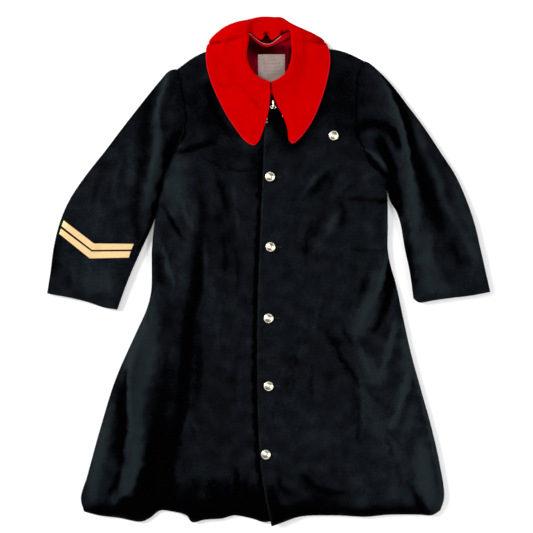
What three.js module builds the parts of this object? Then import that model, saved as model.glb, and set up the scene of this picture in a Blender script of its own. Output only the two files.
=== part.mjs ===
// A military cloak cut as a sleeved greatcoat: black wool, wide scarlet collar, brass buttons.
// It lies on its back, buttoned, with its sleeves beside it. Sizes are in millimetres.
// +X is to the right of someone who looks down on it, +Y runs from hem to collar, +Z is up.
import * as THREE from "three";

// Driving dimensions
const CLOTH = 3; // body wool with its lining
const COLLAR_CLOTH = 3;
const LINING_CLOTH = 1.8;
const SEAM_GAP = 0.4; // between two pieces that are sewn together
const LAYER_GAP = 0.6; // between two pieces that lie on each other
const BODY_LOFT = 9; // how far the fronts stand off the back
const SLEEVE_LOFT = 14; // how far a sleeve's top stands off its underside
const SIDE_ROLL = 30; // width of the rounded edge at a side, a shoulder and the hem
const SHOULDER_ROLL = 30;
const HEM_ROLL = 48;
const SLEEVE_ROLL = 38;
const CUFF_ROLL = 26;
const CUFF_OPEN = 0.2; // share of the sleeve's loft that is left at its mouth
const COLLAR_LIFT = 3.8; // the back lies this much higher over the collar that passes under it
const BUTTON_RADIUS = 12.5;
const BUTTON_HEIGHT = 7.4;
const LACE_THICKNESS = 1.2;
const STEEPEST = 1.6; // a wall is at most this many times as high as its cloth is thick
const FOLD_END = 0.45; // share of a large fold's height that is left at its ends
const COLLAR_RISE = { startY: 500, fullY: 546, startX: 205, fullX: 156 }; // where the back lies over the collar
const OVERLAP = { startX: 95, fullX: 46 }; // where the left front starts to rise over the right one
const SLEEVE_HEAD = 50; // over this distance from the armhole the sleeve takes its own form

// Steps of the nets that the cloth is made from
const ARMHOLE_STEPS = 17;
const CAP_STEPS = 13; // steps of the armhole that the sleeve's cap takes, the rest runs down its inner edge
const SIDE_STEPS = 23;
const FRONT_COLUMNS = 17;
const BACK_COLUMNS = 13;
const SLEEVE_STEPS = 20;
const COLLAR_STEPS = 52;

const WOOL = { color: 0x11171a, roughness: 0.92, metalness: 0 };
const SCARLET = { color: 0xd20a08, roughness: 0.85, metalness: 0 };
const DARK_RED = { color: 0x8a0a0c, roughness: 0.8, metalness: 0 };
const BRASS = { color: 0xd8c48c, roughness: 0.28, metalness: 1 };
const LACE = { color: 0xe8c27a, roughness: 0.55, metalness: 0.35 };
const LABEL = { color: 0xb49a92, roughness: 0.7, metalness: 0 };

// Outlines, from the neck or armhole to the hem. "Right" and "left" are the wearer's.
const RIGHT = {
  neck: [
    [-70, 620], [-75, 592], [-76, 560], [-68, 528], [-50, 499], [-28, 478], [4, 464], [34, 452], [38, 395], [38, 320],
  ],
  frontEdge: [[38, 320], [36, 40], [34, -300], [38, -500], [42, -640]],
  shoulder: [[-70, 620], [-100, 604], [-130, 587], [-152, 577], [-175, 569], [-200, 556], [-238, 528]],
  armhole: [[-238, 528], [-229, 493], [-220, 445], [-214, 397], [-217, 360], [-230, 335], [-244, 312]],
  side: [
    [-244, 312], [-262, 285], [-274, 250], [-286, 200], [-296, 138], [-304, 60], [-306, -50],
    [-318, -98], [-344, -156], [-399, -281], [-438, -406], [-472, -530], [-489, -590], [-481, -624],
  ],
  hem: [
    [42, -640], [-12, -651], [-43, -642], [-90, -634], [-121, -642], [-168, -645], [-199, -652], [-214, -633],
    [-246, -624], [-282, -621], [-308, -640], [-331, -650], [-391, -640], [-438, -634], [-481, -624],
  ],
};
const LEFT = {
  neck: [
    [70, 620], [75, 592], [76, 560], [69, 528], [52, 499], [30, 478], [8, 466], [-8, 452], [-9, 395], [-12, 320],
  ],
  frontEdge: [
    [-12, 320], [-16, 221], [-24, 39], [-29, -146], [-29, -294], [-26, -408], [-20, -502], [-9, -580], [8, -662],
  ],
  shoulder: [[70, 620], [100, 606], [130, 592], [152, 581], [170, 579], [188, 576], [210, 569], [250, 549]],
  armhole: [
    [250, 549], [236, 515], [229, 464], [228, 419], [229, 372], [236, 346], [250, 317], [278, 278], [306, 250],
  ],
  side: [
    [306, 250], [310, 195], [311, 125], [311, 57], [318, 18], [332, -31], [352, -125], [373, -218],
    [399, -312], [425, -406], [446, -499], [458, -585], [449, -620],
  ],
  hem: [
    [8, -662], [35, -652], [82, -637], [176, -634], [254, -637], [316, -632], [394, -632], [425, -633], [449, -620],
  ],
};
const RIGHT_SLEEVE = {
  inner: [
    [-245, 312], [-265, 285], [-277, 250], [-289, 200], [-299, 138], [-316, 94], [-344, 31], [-370, -31], [-394, -98],
  ],
  outer: [
    [-238, 528], [-259, 523], [-282, 499], [-332, 437], [-381, 374], [-428, 312], [-477, 250],
    [-519, 187], [-545, 125], [-560, 62], [-568, 0], [-577, -56],
  ],
  cuff: [[-394, -98], [-430, -92], [-464, -80], [-516, -67], [-577, -56]],
};
const LEFT_SLEEVE = {
  inner: [[306, 250], [315, 190], [334, 156], [344, 125], [355, 62], [368, 0], [378, -70]],
  outer: [
    [250, 549], [266, 541], [311, 499], [360, 437], [407, 374], [448, 312], [488, 250],
    [516, 187], [537, 125], [552, 62], [566, 0], [578, -52],
  ],
  cuff: [[378, -70], [392, -79], [430, -74], [472, -68], [524, -62], [578, -52]],
};
const BACK_TOP = [
  [-238, 528], [-200, 556], [-152, 577], [-100, 604], [-66, 619], [-30, 616], [30, 616], [66, 619], [100, 606],
  [152, 581], [188, 576], [250, 549],
];
const BACK_HEM = [[-480, -620], [-380, -628], [-282, -617], [-150, -628], [0, -634], [200, -630], [448, -617]];

// The largest folds. A ridge has a positive height and a trough a negative one.
// steep narrows the fold on the right of its path, and a value over 1 widens it there.
const FOLDS = [
  { path: [[-306, -83], [-335, -164], [-356, -231], [-363, -289], [-356, -348], [-356, -439], [-368, -560]],
    width: 34, height: 17, steep: 0.55 },
  { path: [[-336, -120], [-376, -268], [-391, -359], [-393, -437], [-384, -494]], width: 15, height: -6, steep: 1 },
  { path: [[-176, 114], [-172, 31], [-173, -47], [-188, -104], [-207, -190], [-214, -273], [-238, -411]],
    width: 20, height: -9, steep: 1 },
  { path: [[-214, 211], [-188, 150], [-206, 60], [-212, -20]], width: 20, height: 6, steep: 1 },
  { path: [[-269, -390], [-282, -437], [-294, -481], [-302, -546], [-306, -630]], width: 20, height: -9, steep: 1 },
  { path: [[-235, -480], [-240, -630]], width: 26, height: 8, steep: 1 },
  { path: [[-152, -560], [-160, -640]], width: 26, height: 7, steep: 1 },
  { path: [[-430, -411], [-451, -515], [-440, -620]], width: 22, height: 6, steep: 1 },
  { path: [[-290, 117], [-273, 57], [-251, -3], [-240, -73]], width: 14, height: 5, steep: 1 },
  { path: [[183, 263], [168, 221], [154, 190], [152, 148], [121, 91], [108, 57]], width: 15, height: -5, steep: 1 },
  { path: [[186, 151], [164, 101], [143, 83]], width: 14, height: 4, steep: 1 },
  { path: [[309, 42], [292, -16], [269, -77], [243, -125], [228, -151]], width: 16, height: 10, steep: 1.5 },
  { path: [[316, 36], [323, -34], [311, -86], [290, -125]], width: 13, height: -9, steep: 1 },
  { path: [[364, -224], [355, -309], [332, -387]], width: 16, height: 6, steep: 1 },
  { path: [[199, -234], [228, -281], [233, -341], [235, -411]], width: 14, height: -4, steep: 1 },
  { path: [[407, -463], [425, -620]], width: 22, height: 7, steep: 1 },
  { path: [[254, -500], [250, -636]], width: 30, height: 5, steep: 1 },
  { path: [[-252, 512], [-275, 452], [-286, 400], [-281, 338], [-298, 265], [-318, 156]], width: 14, height: 10, steep: 1 },
  { path: [[-282, 486], [-308, 408], [-318, 343], [-326, 270]], width: 20, height: -7, steep: 1 },
  { path: [[-222, 372], [-244, 340], [-258, 300]], width: 14, height: -9, steep: 1 },
  { path: [[-349, 170], [-335, 117], [-330, 70]], width: 14, height: -5, steep: 1 },
  { path: [[281, 518], [307, 476], [329, 428], [346, 380], [358, 335], [366, 283], [380, 225], [391, 130]],
    width: 14, height: 12, steep: 1.5 },
  { path: [[355, 421], [376, 343], [399, 252], [420, 174], [446, 122]], width: 16, height: -7, steep: 1 },
  { path: [[391, 380], [414, 302], [445, 239], [459, 182], [503, 112], [545, 40]], width: 14, height: 8, steep: 1 },
  { path: [[235, 374], [264, 385], [295, 385], [324, 374], [339, 322]], width: 13, height: -7, steep: 1 },
  { path: [[280, 346], [303, 328], [321, 291], [330, 240], [326, 190]], width: 15, height: -10, steep: 1 },
  { path: [[425, 81], [422, 36], [453, -9], [470, -51]], width: 12, height: 5, steep: 1 },
];

// Sections of the collar, from its right front end round the back of the neck to its left one.
// seam is its lower edge at the neck, roll the fold at its top, edge its cut edge.
// turn is where a section passes over the shoulder or the neck's back and goes on under the coat.
// A section with a seamZ has its seam free of the fronts, at that height.
// bow and sway bend a section sideways on its way to the edge, as one arc and as an S.
const COLLAR_SECTIONS = [
  { seam: [4, 461], roll: [5, 491], rollZ: 26, edge: [-24, 341], bow: 9, sway: 0 },
  { seam: [-14, 466], roll: [-8, 496], rollZ: 25, edge: [-37, 329], bow: 5, sway: 0 },
  { seam: [-31, 473], roll: [-23, 503], rollZ: 24, edge: [-58, 338], bow: 2, sway: 0 },
  { seam: [-54, 493], roll: [-38, 516], rollZ: 23, edge: [-93, 382], bow: 0, sway: 0 },
  { seam: [-74, 525], roll: [-51, 538], rollZ: 22.5, edge: [-125, 437], bow: 0, sway: 0 },
  { seam: [-82, 560], roll: [-57, 566], rollZ: 22.5, edge: [-152, 501], bow: 0, sway: 0 },
  { seam: [-80, 588], roll: [-54, 590], rollZ: 22.5, edge: [-162, 546], bow: 0, sway: 0 },
  { seam: [-73, 606], roll: [-52, 606], rollZ: 22, edge: [-162, 579], bow: 0, sway: 0 },
  { seam: [-65, 619], roll: [-52, 619], rollZ: 21.5, turn: [-153, 598], edge: [-156, 594], seamZ: 16 },
  { seam: [-58, 623], roll: [-52, 634], rollZ: 21, turn: [-122, 631], edge: [-130, 597], seamZ: 14 },
  { seam: [-50, 624], roll: [-45, 648], rollZ: 19, turn: [-90, 647], edge: [-98, 577], seamZ: 13 },
  { seam: [-36, 614], roll: [-34, 651], rollZ: 17.5, turn: [-56, 655], edge: [-62, 564], seamZ: 13 },
  { seam: [-19, 604], roll: [-20, 654], rollZ: 17, turn: [-24, 662], edge: [-30, 558], seamZ: 12 },
  { seam: [-5, 618], roll: [-3, 655], rollZ: 17, turn: [-3, 663], edge: [-3, 556], seamZ: 13.5 },
  { seam: [8, 604], roll: [12, 654], rollZ: 17, turn: [12, 662], edge: [13, 556], seamZ: 12 },
  { seam: [24, 612], roll: [28, 652], rollZ: 17, turn: [34, 661], edge: [38, 558], seamZ: 13.5 },
  { seam: [42, 625], roll: [44, 646], rollZ: 18, turn: [56, 647], edge: [62, 566], seamZ: 13 },
  { seam: [54, 629], roll: [53, 634], rollZ: 20, turn: [88, 632], edge: [96, 578], seamZ: 14 },
  { seam: [63, 622], roll: [58, 621], rollZ: 21.5, turn: [120, 617], edge: [126, 592], seamZ: 15 },
  { seam: [71, 610], roll: [59, 608], rollZ: 22, turn: [143, 600], edge: [147, 597], seamZ: 17 },
  { seam: [79, 592], roll: [60, 594], rollZ: 22.5, edge: [155, 583], bow: 0, sway: 0 },
  { seam: [82, 562], roll: [61, 568], rollZ: 22.5, edge: [160, 549], bow: 0, sway: 0 },
  { seam: [75, 527], roll: [56, 539], rollZ: 22.5, edge: [148, 482], bow: 0, sway: 0 },
  { seam: [60, 493], roll: [45, 516], rollZ: 23.5, edge: [118, 400], bow: 0, sway: 0 },
  { seam: [40, 473], roll: [31, 503], rollZ: 25.5, edge: [84, 350], bow: 0, sway: 0 },
  { seam: [20, 464], roll: [18, 496], rollZ: 26.5, edge: [62, 333], bow: 1, sway: -3 },
  { seam: [6, 461], roll: [7, 491], rollZ: 27, edge: [52, 343], bow: 1, sway: -5 },
];

const BUTTONS = [
  { name: "button_1", at: [4, 247] },
  { name: "button_2", at: [5, 65] },
  { name: "button_3", at: [0, -120] },
  { name: "button_4", at: [0, -296] },
  { name: "button_5", at: [-7, -473] },
  { name: "button_chest", at: [169, 354] },
];

// Edges of the two bars of gold lace, from the sleeve's outer edge inwards
const BARS = [
  { name: "lace_bar_upper", top: [[-531, 134], [-452, 74], [-349, 73]], bottom: [[-537, 119], [-457, 57], [-355, 58]] },
  { name: "lace_bar_lower", top: [[-538, 113], [-458, 53], [-357, 54]], bottom: [[-543, 99], [-463, 35], [-362, 37]] },
];

const clamp = THREE.MathUtils.clamp;
const mix = THREE.MathUtils.lerp;
const ramp = (value, from, to) => {
  const t = clamp((value - from) / (to - from), 0, 1);
  return t * t * (3 - 2 * t);
};
const quarterRound = (share) => Math.sqrt(1 - (1 - clamp(share, 0, 1)) ** 2);

// Points along a smooth line, as fractions of its length
function pointsAlong(line, fractions) {
  const curve = new THREE.CatmullRomCurve3(
    line.map(([x, y]) => new THREE.Vector3(x, y, 0)), false, "centripetal");
  return fractions.map((f) => curve.getPointAt(f));
}
const even = (steps) => Array.from({ length: steps + 1 }, (_, i) => i / steps);
const CLOSER = 0.55; // how much closer the steps lie at both ends of a line
const closerAtEnds = (steps) => even(steps).map((t) => t - (CLOSER * Math.sin(2 * Math.PI * t)) / (2 * Math.PI));
const FIRST_STEP = 1.3; // length of a line's first step, in mean steps, where its steps grow shorter
const shorterSteps = (steps) => even(steps).map((t) => t * (FIRST_STEP - (FIRST_STEP - 1) * t));

// The nearest place on a broken line: its distance, its fraction of the line and the side it is on
function nearestOn(line, x, y) {
  let best = { distance: Infinity, fraction: 0, right: false };
  for (let i = 0; i < line.length - 1; i++) {
    const [ax, ay] = line[i];
    const [bx, by] = line[i + 1];
    const dx = bx - ax;
    const dy = by - ay;
    const t = clamp(((x - ax) * dx + (y - ay) * dy) / (dx * dx + dy * dy), 0, 1);
    const distance = Math.hypot(x - ax - t * dx, y - ay - t * dy);
    if (distance < best.distance) {
      const cross = dx * (y - ay) - dy * (x - ax);
      best = { distance, fraction: (i + t) / (line.length - 1), right: cross < 0 };
    }
  }
  return best;
}

// Height of the folds above the plain form
function relief(x, y) {
  let total = 0;
  for (const fold of FOLDS) {
    const near = nearestOn(fold.path, x, y);
    const reach = fold.width * (near.right ? fold.steep : 1);
    const fade = FOLD_END + (1 - FOLD_END) * Math.sin(Math.PI * near.fraction);
    total += fold.height * fade * Math.exp(-((near.distance / reach) ** 2));
  }
  return total;
}

const dense = (line) => pointsAlong(line, even(40)).map((p) => [p.x, p.y]);
const ROLLED = {
  sides: [dense(RIGHT.side), dense(LEFT.side)],
  shoulders: [dense(RIGHT.shoulder), dense(LEFT.shoulder)],
  hems: [dense(RIGHT.hem), dense(LEFT.hem)],
};
const away = (lines, x, y) => Math.min(...lines.map((line) => nearestOn(line, x, y).distance));

// Top of the back: flat, but higher where the collar passes under it
function backRise(x, y) {
  const { startY, fullY, startX, fullX } = COLLAR_RISE;
  return COLLAR_LIFT * ramp(y, startY, fullY) * ramp(-Math.abs(x), -startX, -fullX);
}

const bodyForm = (x, y) =>
  BODY_LOFT * quarterRound(away(ROLLED.sides, x, y) / SIDE_ROLL) *
  quarterRound(away(ROLLED.shoulders, x, y) / SHOULDER_ROLL) *
  quarterRound(away(ROLLED.hems, x, y) / HEM_ROLL);

// Underside of the fronts
function frontUnderside(x, y) {
  const edge = quarterRound(away(ROLLED.sides, x, y) / SIDE_ROLL) *
    quarterRound(away(ROLLED.shoulders, x, y) / SHOULDER_ROLL);
  const flutes = 0.5 + 0.5 * quarterRound(away(ROLLED.hems, x, y) / HEM_ROLL);
  const floor = CLOTH + backRise(x, y) + LAYER_GAP;
  return Math.max(floor, CLOTH + LAYER_GAP + bodyForm(x, y) + relief(x, y) * edge * flutes);
}

// Height that a wall of cloth takes up on a slope
function wallHeight(underside, x, y, cloth) {
  const step = CLOTH;
  const slopeX = (underside(x + step, y) - underside(x - step, y)) / (2 * step);
  const slopeY = (underside(x, y + step) - underside(x, y - step)) / (2 * step);
  return cloth * Math.min(Math.hypot(1, slopeX, slopeY), STEEPEST);
}

// The left front lies over the right one along the buttons.
function leftFrontUnderside(x, y) {
  const over = ramp(-x, -OVERLAP.startX, -OVERLAP.fullX) * (wallHeight(frontUnderside, x, y, CLOTH) + LAYER_GAP);
  return frontUnderside(x, y) + over;
}

// A net of points between two sides, closed by a line at its top and one at its bottom
function net(inner, outer, top, bottom, columns) {
  const last = inner.length - 1;
  return inner.map((start, i) =>
    columns.map((u, j) => {
      const point = start.clone().lerp(outer[i], u);
      const atTop = top[j].clone().sub(inner[0].clone().lerp(outer[0], u));
      const atBottom = bottom[j].clone().sub(inner[last].clone().lerp(outer[last], u));
      const v = i / last;
      return point.addScaledVector(atTop, (1 - v) ** 3).addScaledVector(atBottom, v ** 3);
    }));
}

// A closed wall between an upper and a lower net
function wall(upper, lower) {
  const rows = upper.length;
  const columns = upper[0].length;
  const points = [...upper.flat(), ...lower.flat()];
  const top = (i, j) => i * columns + j;
  const under = (i, j) => rows * columns + i * columns + j;
  const faces = [];
  const quad = (a, b, c, d) => faces.push(a, b, c, a, c, d);
  for (let i = 0; i < rows - 1; i++)
    for (let j = 0; j < columns - 1; j++) {
      quad(top(i, j), top(i + 1, j), top(i + 1, j + 1), top(i, j + 1));
      quad(under(i, j), under(i, j + 1), under(i + 1, j + 1), under(i + 1, j));
    }
  for (let i = 0; i < rows - 1; i++) {
    quad(top(i, 0), under(i, 0), under(i + 1, 0), top(i + 1, 0));
    quad(top(i + 1, columns - 1), under(i + 1, columns - 1), under(i, columns - 1), top(i, columns - 1));
  }
  for (let j = 0; j < columns - 1; j++) {
    quad(top(0, j + 1), under(0, j + 1), under(0, j), top(0, j));
    quad(top(rows - 1, j), under(rows - 1, j), under(rows - 1, j + 1), top(rows - 1, j + 1));
  }
  const geometry = new THREE.BufferGeometry().setFromPoints(points);
  return facingOut(geometry.setIndex(faces));
}

// Turns a closed geometry's faces outwards
function facingOut(geometry) {
  const place = geometry.getAttribute("position");
  const index = geometry.getIndex().array;
  const corner = (k) => new THREE.Vector3().fromBufferAttribute(place, index[k]);
  let volume = 0;
  for (let k = 0; k < index.length; k += 3) volume += corner(k).dot(corner(k + 1).cross(corner(k + 2)));
  if (volume < 0)
    for (let k = 0; k < index.length; k += 3) [index[k + 1], index[k + 2]] = [index[k + 2], index[k + 1]];
  return geometry;
}

const raised = (plan, height) => plan.map((row) => row.map((p) => new THREE.Vector3(p.x, p.y, height(p.x, p.y, p))));

// A panel of cloth over a plan, from its underside
function panel(plan, underside, cloth) {
  const lower = raised(plan, underside);
  const upper = raised(plan, (x, y, p) => underside(x, y, p) + wallHeight(underside, x, y, cloth));
  return { upper, geometry: wall(upper, lower) };
}

// Height of a net's surface over a place, or nothing where the net isn't under it
function heightOn(surface, x, y) {
  let height = null;
  const test = (a, b, c) => {
    const area = (b.x - a.x) * (c.y - a.y) - (c.x - a.x) * (b.y - a.y);
    const s = ((x - a.x) * (c.y - a.y) - (c.x - a.x) * (y - a.y)) / area;
    const t = ((b.x - a.x) * (y - a.y) - (x - a.x) * (b.y - a.y)) / area;
    if (s >= -1e-6 && t >= -1e-6 && s + t <= 1 + 1e-6)
      height = Math.max(height ?? -Infinity, a.z + s * (b.z - a.z) + t * (c.z - a.z));
  };
  for (let i = 0; i < surface.length - 1; i++)
    for (let j = 0; j < surface[0].length - 1; j++) {
      test(surface[i][j], surface[i + 1][j], surface[i + 1][j + 1]);
      test(surface[i][j], surface[i + 1][j + 1], surface[i][j + 1]);
    }
  return height;
}

// A thin piece that lies on a surface: its plan moved up by gap, and a wall of the given cloth
const LAID_REACH = 3; // a laid piece clears the highest place within this distance
function laidOn(surface, plan, gap, cloth) {
  const spots = [[0, 0], [LAID_REACH, 0], [-LAID_REACH, 0], [0, LAID_REACH], [0, -LAID_REACH]];
  const over = (x, y) => {
    const heights = spots.map(([dx, dy]) => heightOn(surface, x + dx, y + dy));
    return Math.max(...heights.map((z) => z ?? nearestHeight(surface, x, y))) + gap;
  };
  return wall(raised(plan, (x, y) => over(x, y) + cloth), raised(plan, over));
}

function nearestHeight(surface, x, y) {
  const points = surface.flat();
  const distance = (p) => Math.hypot(p.x - x, p.y - y);
  return points.reduce((best, p) => (distance(p) < distance(best) ? p : best)).z;
}

const part = new THREE.Group();
function add(name, geometry, finish) {
  const mesh = new THREE.Mesh(geometry, new THREE.MeshStandardMaterial(finish));
  mesh.name = name;
  part.add(mesh);
  return mesh;
}

// Fronts: the rows run from the neck and armhole down to the hem.
const sideRows = (line) => pointsAlong(line, shorterSteps(SIDE_STEPS)).slice(1);
const rowsOf = (upperLine, lowerLine) => [...pointsAlong(upperLine, even(ARMHOLE_STEPS)), ...sideRows(lowerLine)];
const rightOuter = rowsOf(RIGHT.armhole, RIGHT.side);
const leftOuter = rowsOf(LEFT.armhole, LEFT.side);
const frontColumns = closerAtEnds(FRONT_COLUMNS);
const frontPlan = (half, outer) =>
  net(rowsOf(half.neck, half.frontEdge), outer, pointsAlong(half.shoulder, frontColumns),
    pointsAlong(half.hem, frontColumns), frontColumns);
const frontRight = panel(frontPlan(RIGHT, rightOuter), frontUnderside, CLOTH);
const frontLeft = panel(frontPlan(LEFT, leftOuter), leftFrontUnderside, CLOTH);
add("front_right", frontRight.geometry, WOOL);
add("front_left", frontLeft.geometry, WOOL);

// Back: one flat panel under both fronts
const backColumns = even(BACK_COLUMNS);
const everyOther = (rows) => rows.filter((_, i) => i <= ARMHOLE_STEPS || (i - ARMHOLE_STEPS) % 2 === 1);
const backPlan = net(everyOther(rightOuter), everyOther(leftOuter), pointsAlong(BACK_TOP, backColumns),
  pointsAlong(BACK_HEM, backColumns), backColumns);
const back = {
  upper: raised(backPlan, (x, y) => CLOTH + backRise(x, y)),
  lower: raised(backPlan, backRise),
};
add("back", wall(back.upper, back.lower), WOOL);

// Sleeves: a flat underside and a top that is set into the armhole
function sleeve(side, outline, bodyRows, outwards) {
  const armhole = bodyRows.slice(0, ARMHOLE_STEPS + 1);
  const seam = armhole.map((p, i) => {
    const along = armhole[Math.min(i + 1, ARMHOLE_STEPS)].clone().sub(armhole[Math.max(i - 1, 0)]).normalize();
    const normal = new THREE.Vector3(-along.y, along.x, 0).multiplyScalar(outwards);
    return p.clone().addScaledVector(normal, SEAM_GAP);
  });
  const below = SLEEVE_STEPS - (ARMHOLE_STEPS - CAP_STEPS);
  const inner = [...seam.slice(CAP_STEPS), ...pointsAlong(outline.inner, even(below)).slice(1)];
  const outer = pointsAlong(outline.outer, even(SLEEVE_STEPS));
  const columns = closerAtEnds(CAP_STEPS);
  const cap = seam.slice(0, CAP_STEPS + 1).reverse();
  const plan = net(inner, outer, cap, pointsAlong(outline.cuff, columns), columns);
  const edges = [dense(outline.inner), dense(outline.outer)];
  const mouth = dense(outline.cuff);
  const hole = armhole.map((p) => [p.x, p.y]);
  const underside = (x, y) => {
    const form = SLEEVE_LOFT * quarterRound(away(edges, x, y) / SLEEVE_ROLL) *
      (CUFF_OPEN + (1 - CUFF_OPEN) * quarterRound(nearestOn(mouth, x, y).distance / CUFF_ROLL));
    const free = ramp(nearestOn(hole, x, y).distance, 0, SLEEVE_HEAD);
    const edge = quarterRound(away(edges, x, y) / (SLEEVE_ROLL / 2));
    return Math.max(CLOTH + LAYER_GAP, CLOTH + LAYER_GAP + mix(bodyForm(x, y), form, free) + relief(x, y) * edge);
  };
  const top = panel(plan, underside, CLOTH);
  add(`sleeve_${side}_top`, top.geometry, WOOL);
  const armholeRows = ARMHOLE_STEPS - CAP_STEPS;
  const underPlan = plan.filter((_, i) => i <= armholeRows || (i - armholeRows) % 2 === 0);
  add(`sleeve_${side}_under`, wall(raised(underPlan, () => CLOTH), raised(underPlan, () => 0)), WOOL);
  return top;
}
const sleeveRight = sleeve("right", RIGHT_SLEEVE, rightOuter, -1);
sleeve("left", LEFT_SLEEVE, leftOuter, 1);

// Collar: a band that stands at the neck, rolls over and lies on the fronts and under the back
const STEP_REACH = 9; // the collar bridges the edge of the left front over this distance
function lieHeight(x, y) {
  const spots = [x, x - STEP_REACH, x + STEP_REACH];
  const heights = [frontRight, frontLeft]
    .flatMap((front) => spots.map((spot) => heightOn(front.upper, spot, y)))
    .filter((z) => z !== null);
  return heights.length ? Math.max(...heights) : null;
}
const LIE = LAYER_GAP + COLLAR_CLOTH / 2 + SEAM_GAP; // from a front's surface to the middle of the collar's wall
const UNDER = COLLAR_CLOTH / 2; // height of the wall's middle where it lies on the floor
const plainTop = (x, y) => lieHeight(x, y) ?? CLOTH + LAYER_GAP + bodyForm(x, y) + CLOTH;

// The ten guide points of one section. A doubled section comes back over itself at the roll.
const ROLL = { reach: 4, doubled: 3 }; // reach of the bend on both sides of the roll, and its height where doubled
const TURN_LEVEL = 0.45; // height of the turn over the shoulder, as a share of the roll's and the floor's together
const BROW = { reach: 7, level: 1.75, least: 10 }; // the bend before the turn: its reach and its height in turns
const STAND_MIDDLE = 0.55; // place of the stand's middle between the seam and the roll
const LEAF_SHARES = [0.2, 0.4, 0.6, 0.8, 1];
function collarGuides({ seam, roll, rollZ, turn, edge, bow, sway, seamZ }) {
  const at = ([x, y], z) => new THREE.Vector3(x, y, z);
  const seamPoint = at(seam, seamZ ?? plainTop(...seam) + LIE);
  const rollPoint = at(roll, rollZ);
  const far = turn ?? edge;
  const out = at(far, 0).sub(at(roll, 0));
  const width = out.length();
  out.normalize();
  const inwards = at(seam, 0).sub(at(roll, 0)).normalize();
  const doubling = (1 + out.dot(inwards)) / 2;
  const sideways = new THREE.Vector3(-out.y, out.x, 0);
  const besideRoll = Math.min(ROLL.reach, width / 4);
  const outAlong = (distance, z) => rollPoint.clone().addScaledVector(out, distance).setZ(z);
  const beforeRoll = rollPoint.clone().addScaledVector(inwards, ROLL.reach).setZ(rollZ - ROLL.doubled * doubling);
  const afterRoll = outAlong(besideRoll, rollZ + ROLL.doubled * doubling);
  const standMiddle = seamPoint.clone().lerp(beforeRoll, STAND_MIDDLE);
  const guides = [seamPoint, standMiddle, beforeRoll, rollPoint, afterRoll];
  if (turn) {
    const turnZ = (UNDER + rollZ) * TURN_LEVEL;
    const brow = Math.min(BROW.reach, width / 5);
    const middle = outAlong(width / 2, mix(rollZ, 2 * turnZ, 0.4));
    const hidden = at(edge, 0).sub(at(turn, 0));
    const beyond = hidden.clone().setLength(Math.min(BROW.reach, hidden.length() * 0.6));
    guides.push(middle, outAlong(width - brow, Math.max(BROW.level * turnZ, BROW.least)), at(turn, turnZ));
    guides.push(at(turn, UNDER).add(beyond), at(edge, UNDER));
  } else {
    for (const share of LEAF_SHARES) {
      const place = outAlong(width * share, 0);
      place.addScaledVector(sideways, bow * Math.sin(Math.PI * share) + sway * Math.sin(2 * Math.PI * share));
      place.z = plainTop(place.x, place.y) + LIE;
      guides.push(place);
    }
  }
  return guides;
}

// Lifts a point of the collar clear of the front that it lies on
const ROLL_RISE = 8; // how much higher the leaf is at its roll than where it lies
const ROLL_REACH = 27;
function restOnCoat(point, roll, beyondRoll) {
  const lie = lieHeight(point.x, point.y);
  if (lie === null) return;
  if (!beyondRoll) point.z = Math.max(point.z, lie + LIE);
  else if (point.z > 2 * COLLAR_CLOTH) {
    const rise = ROLL_RISE * Math.exp(-((point.distanceTo(roll) / ROLL_REACH) ** 2));
    point.z = Math.max(point.z, lie + LIE + rise);
  } else point.z = UNDER;
}

function collarMiddle() {
  const guides = COLLAR_SECTIONS.map(collarGuides);
  const lines = guides[0].map((_, k) =>
    new THREE.CatmullRomCurve3(guides.map((section) => section[k]), false, "centripetal"));
  const stations = [0, 0.1, 0.19, 0.27, 0.33, 0.38, 0.44, 0.52, 0.6, 0.68, 0.75, 0.82, 0.9, 1];
  return even(COLLAR_STEPS).map((f) => {
    const section = new THREE.CatmullRomCurve3(lines.map((line) => line.getPoint(f)), false, "centripetal");
    const roll = section.getPoint(1 / 3);
    return stations.map((s) => {
      const point = section.getPoint(s);
      restOnCoat(point, roll, s > 1 / 3);
      return point;
    });
  });
}

// A net moved along its normals
function moved(middle, distance) {
  const last = [middle.length - 1, middle[0].length - 1];
  return middle.map((row, i) =>
    row.map((point, j) => {
      const alongRow = row[Math.min(j + 1, last[1])].clone().sub(row[Math.max(j - 1, 0)]);
      const acrossRows = middle[Math.min(i + 1, last[0])][j].clone().sub(middle[Math.max(i - 1, 0)][j]);
      return point.clone().addScaledVector(alongRow.cross(acrossRows).normalize(), distance);
    }));
}
const collar = collarMiddle();
const offFloor = (face) => raised(face, (x, y, p) => Math.max(p.z, 0));
const collarFaces = [COLLAR_CLOTH / 2, -COLLAR_CLOTH / 2].map((distance) => offFloor(moved(collar, distance)));
add("collar", wall(...collarFaces), SCARLET);

// Lining of the upper back, where the open neck shows it
const LINING_ROWS = [
  { y: 468, halfWidth: 20 }, { y: 480, halfWidth: 30 }, { y: 500, halfWidth: 46 }, { y: 528, halfWidth: 64 },
  { y: 560, halfWidth: 72 }, { y: 590, halfWidth: 71 }, { y: 612, halfWidth: 62 },
];
const LINING_MIDDLE = 3;
const acrossLining = even(6).map((t) => 2 * t - 1);
const liningPlan = LINING_ROWS.map(({ y, halfWidth }) =>
  acrossLining.map((t) => new THREE.Vector3(LINING_MIDDLE + t * halfWidth, y, 0)));
const overBack = (gap) => (x, y) => (heightOn(back.upper, x, y) ?? nearestHeight(back.upper, x, y)) + gap;
const LINING_GAP = 1;
const lining = raised(liningPlan, overBack(LINING_GAP + LINING_CLOTH));
add("back_neck_lining", wall(lining, raised(liningPlan, overBack(LINING_GAP))), DARK_RED);

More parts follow.
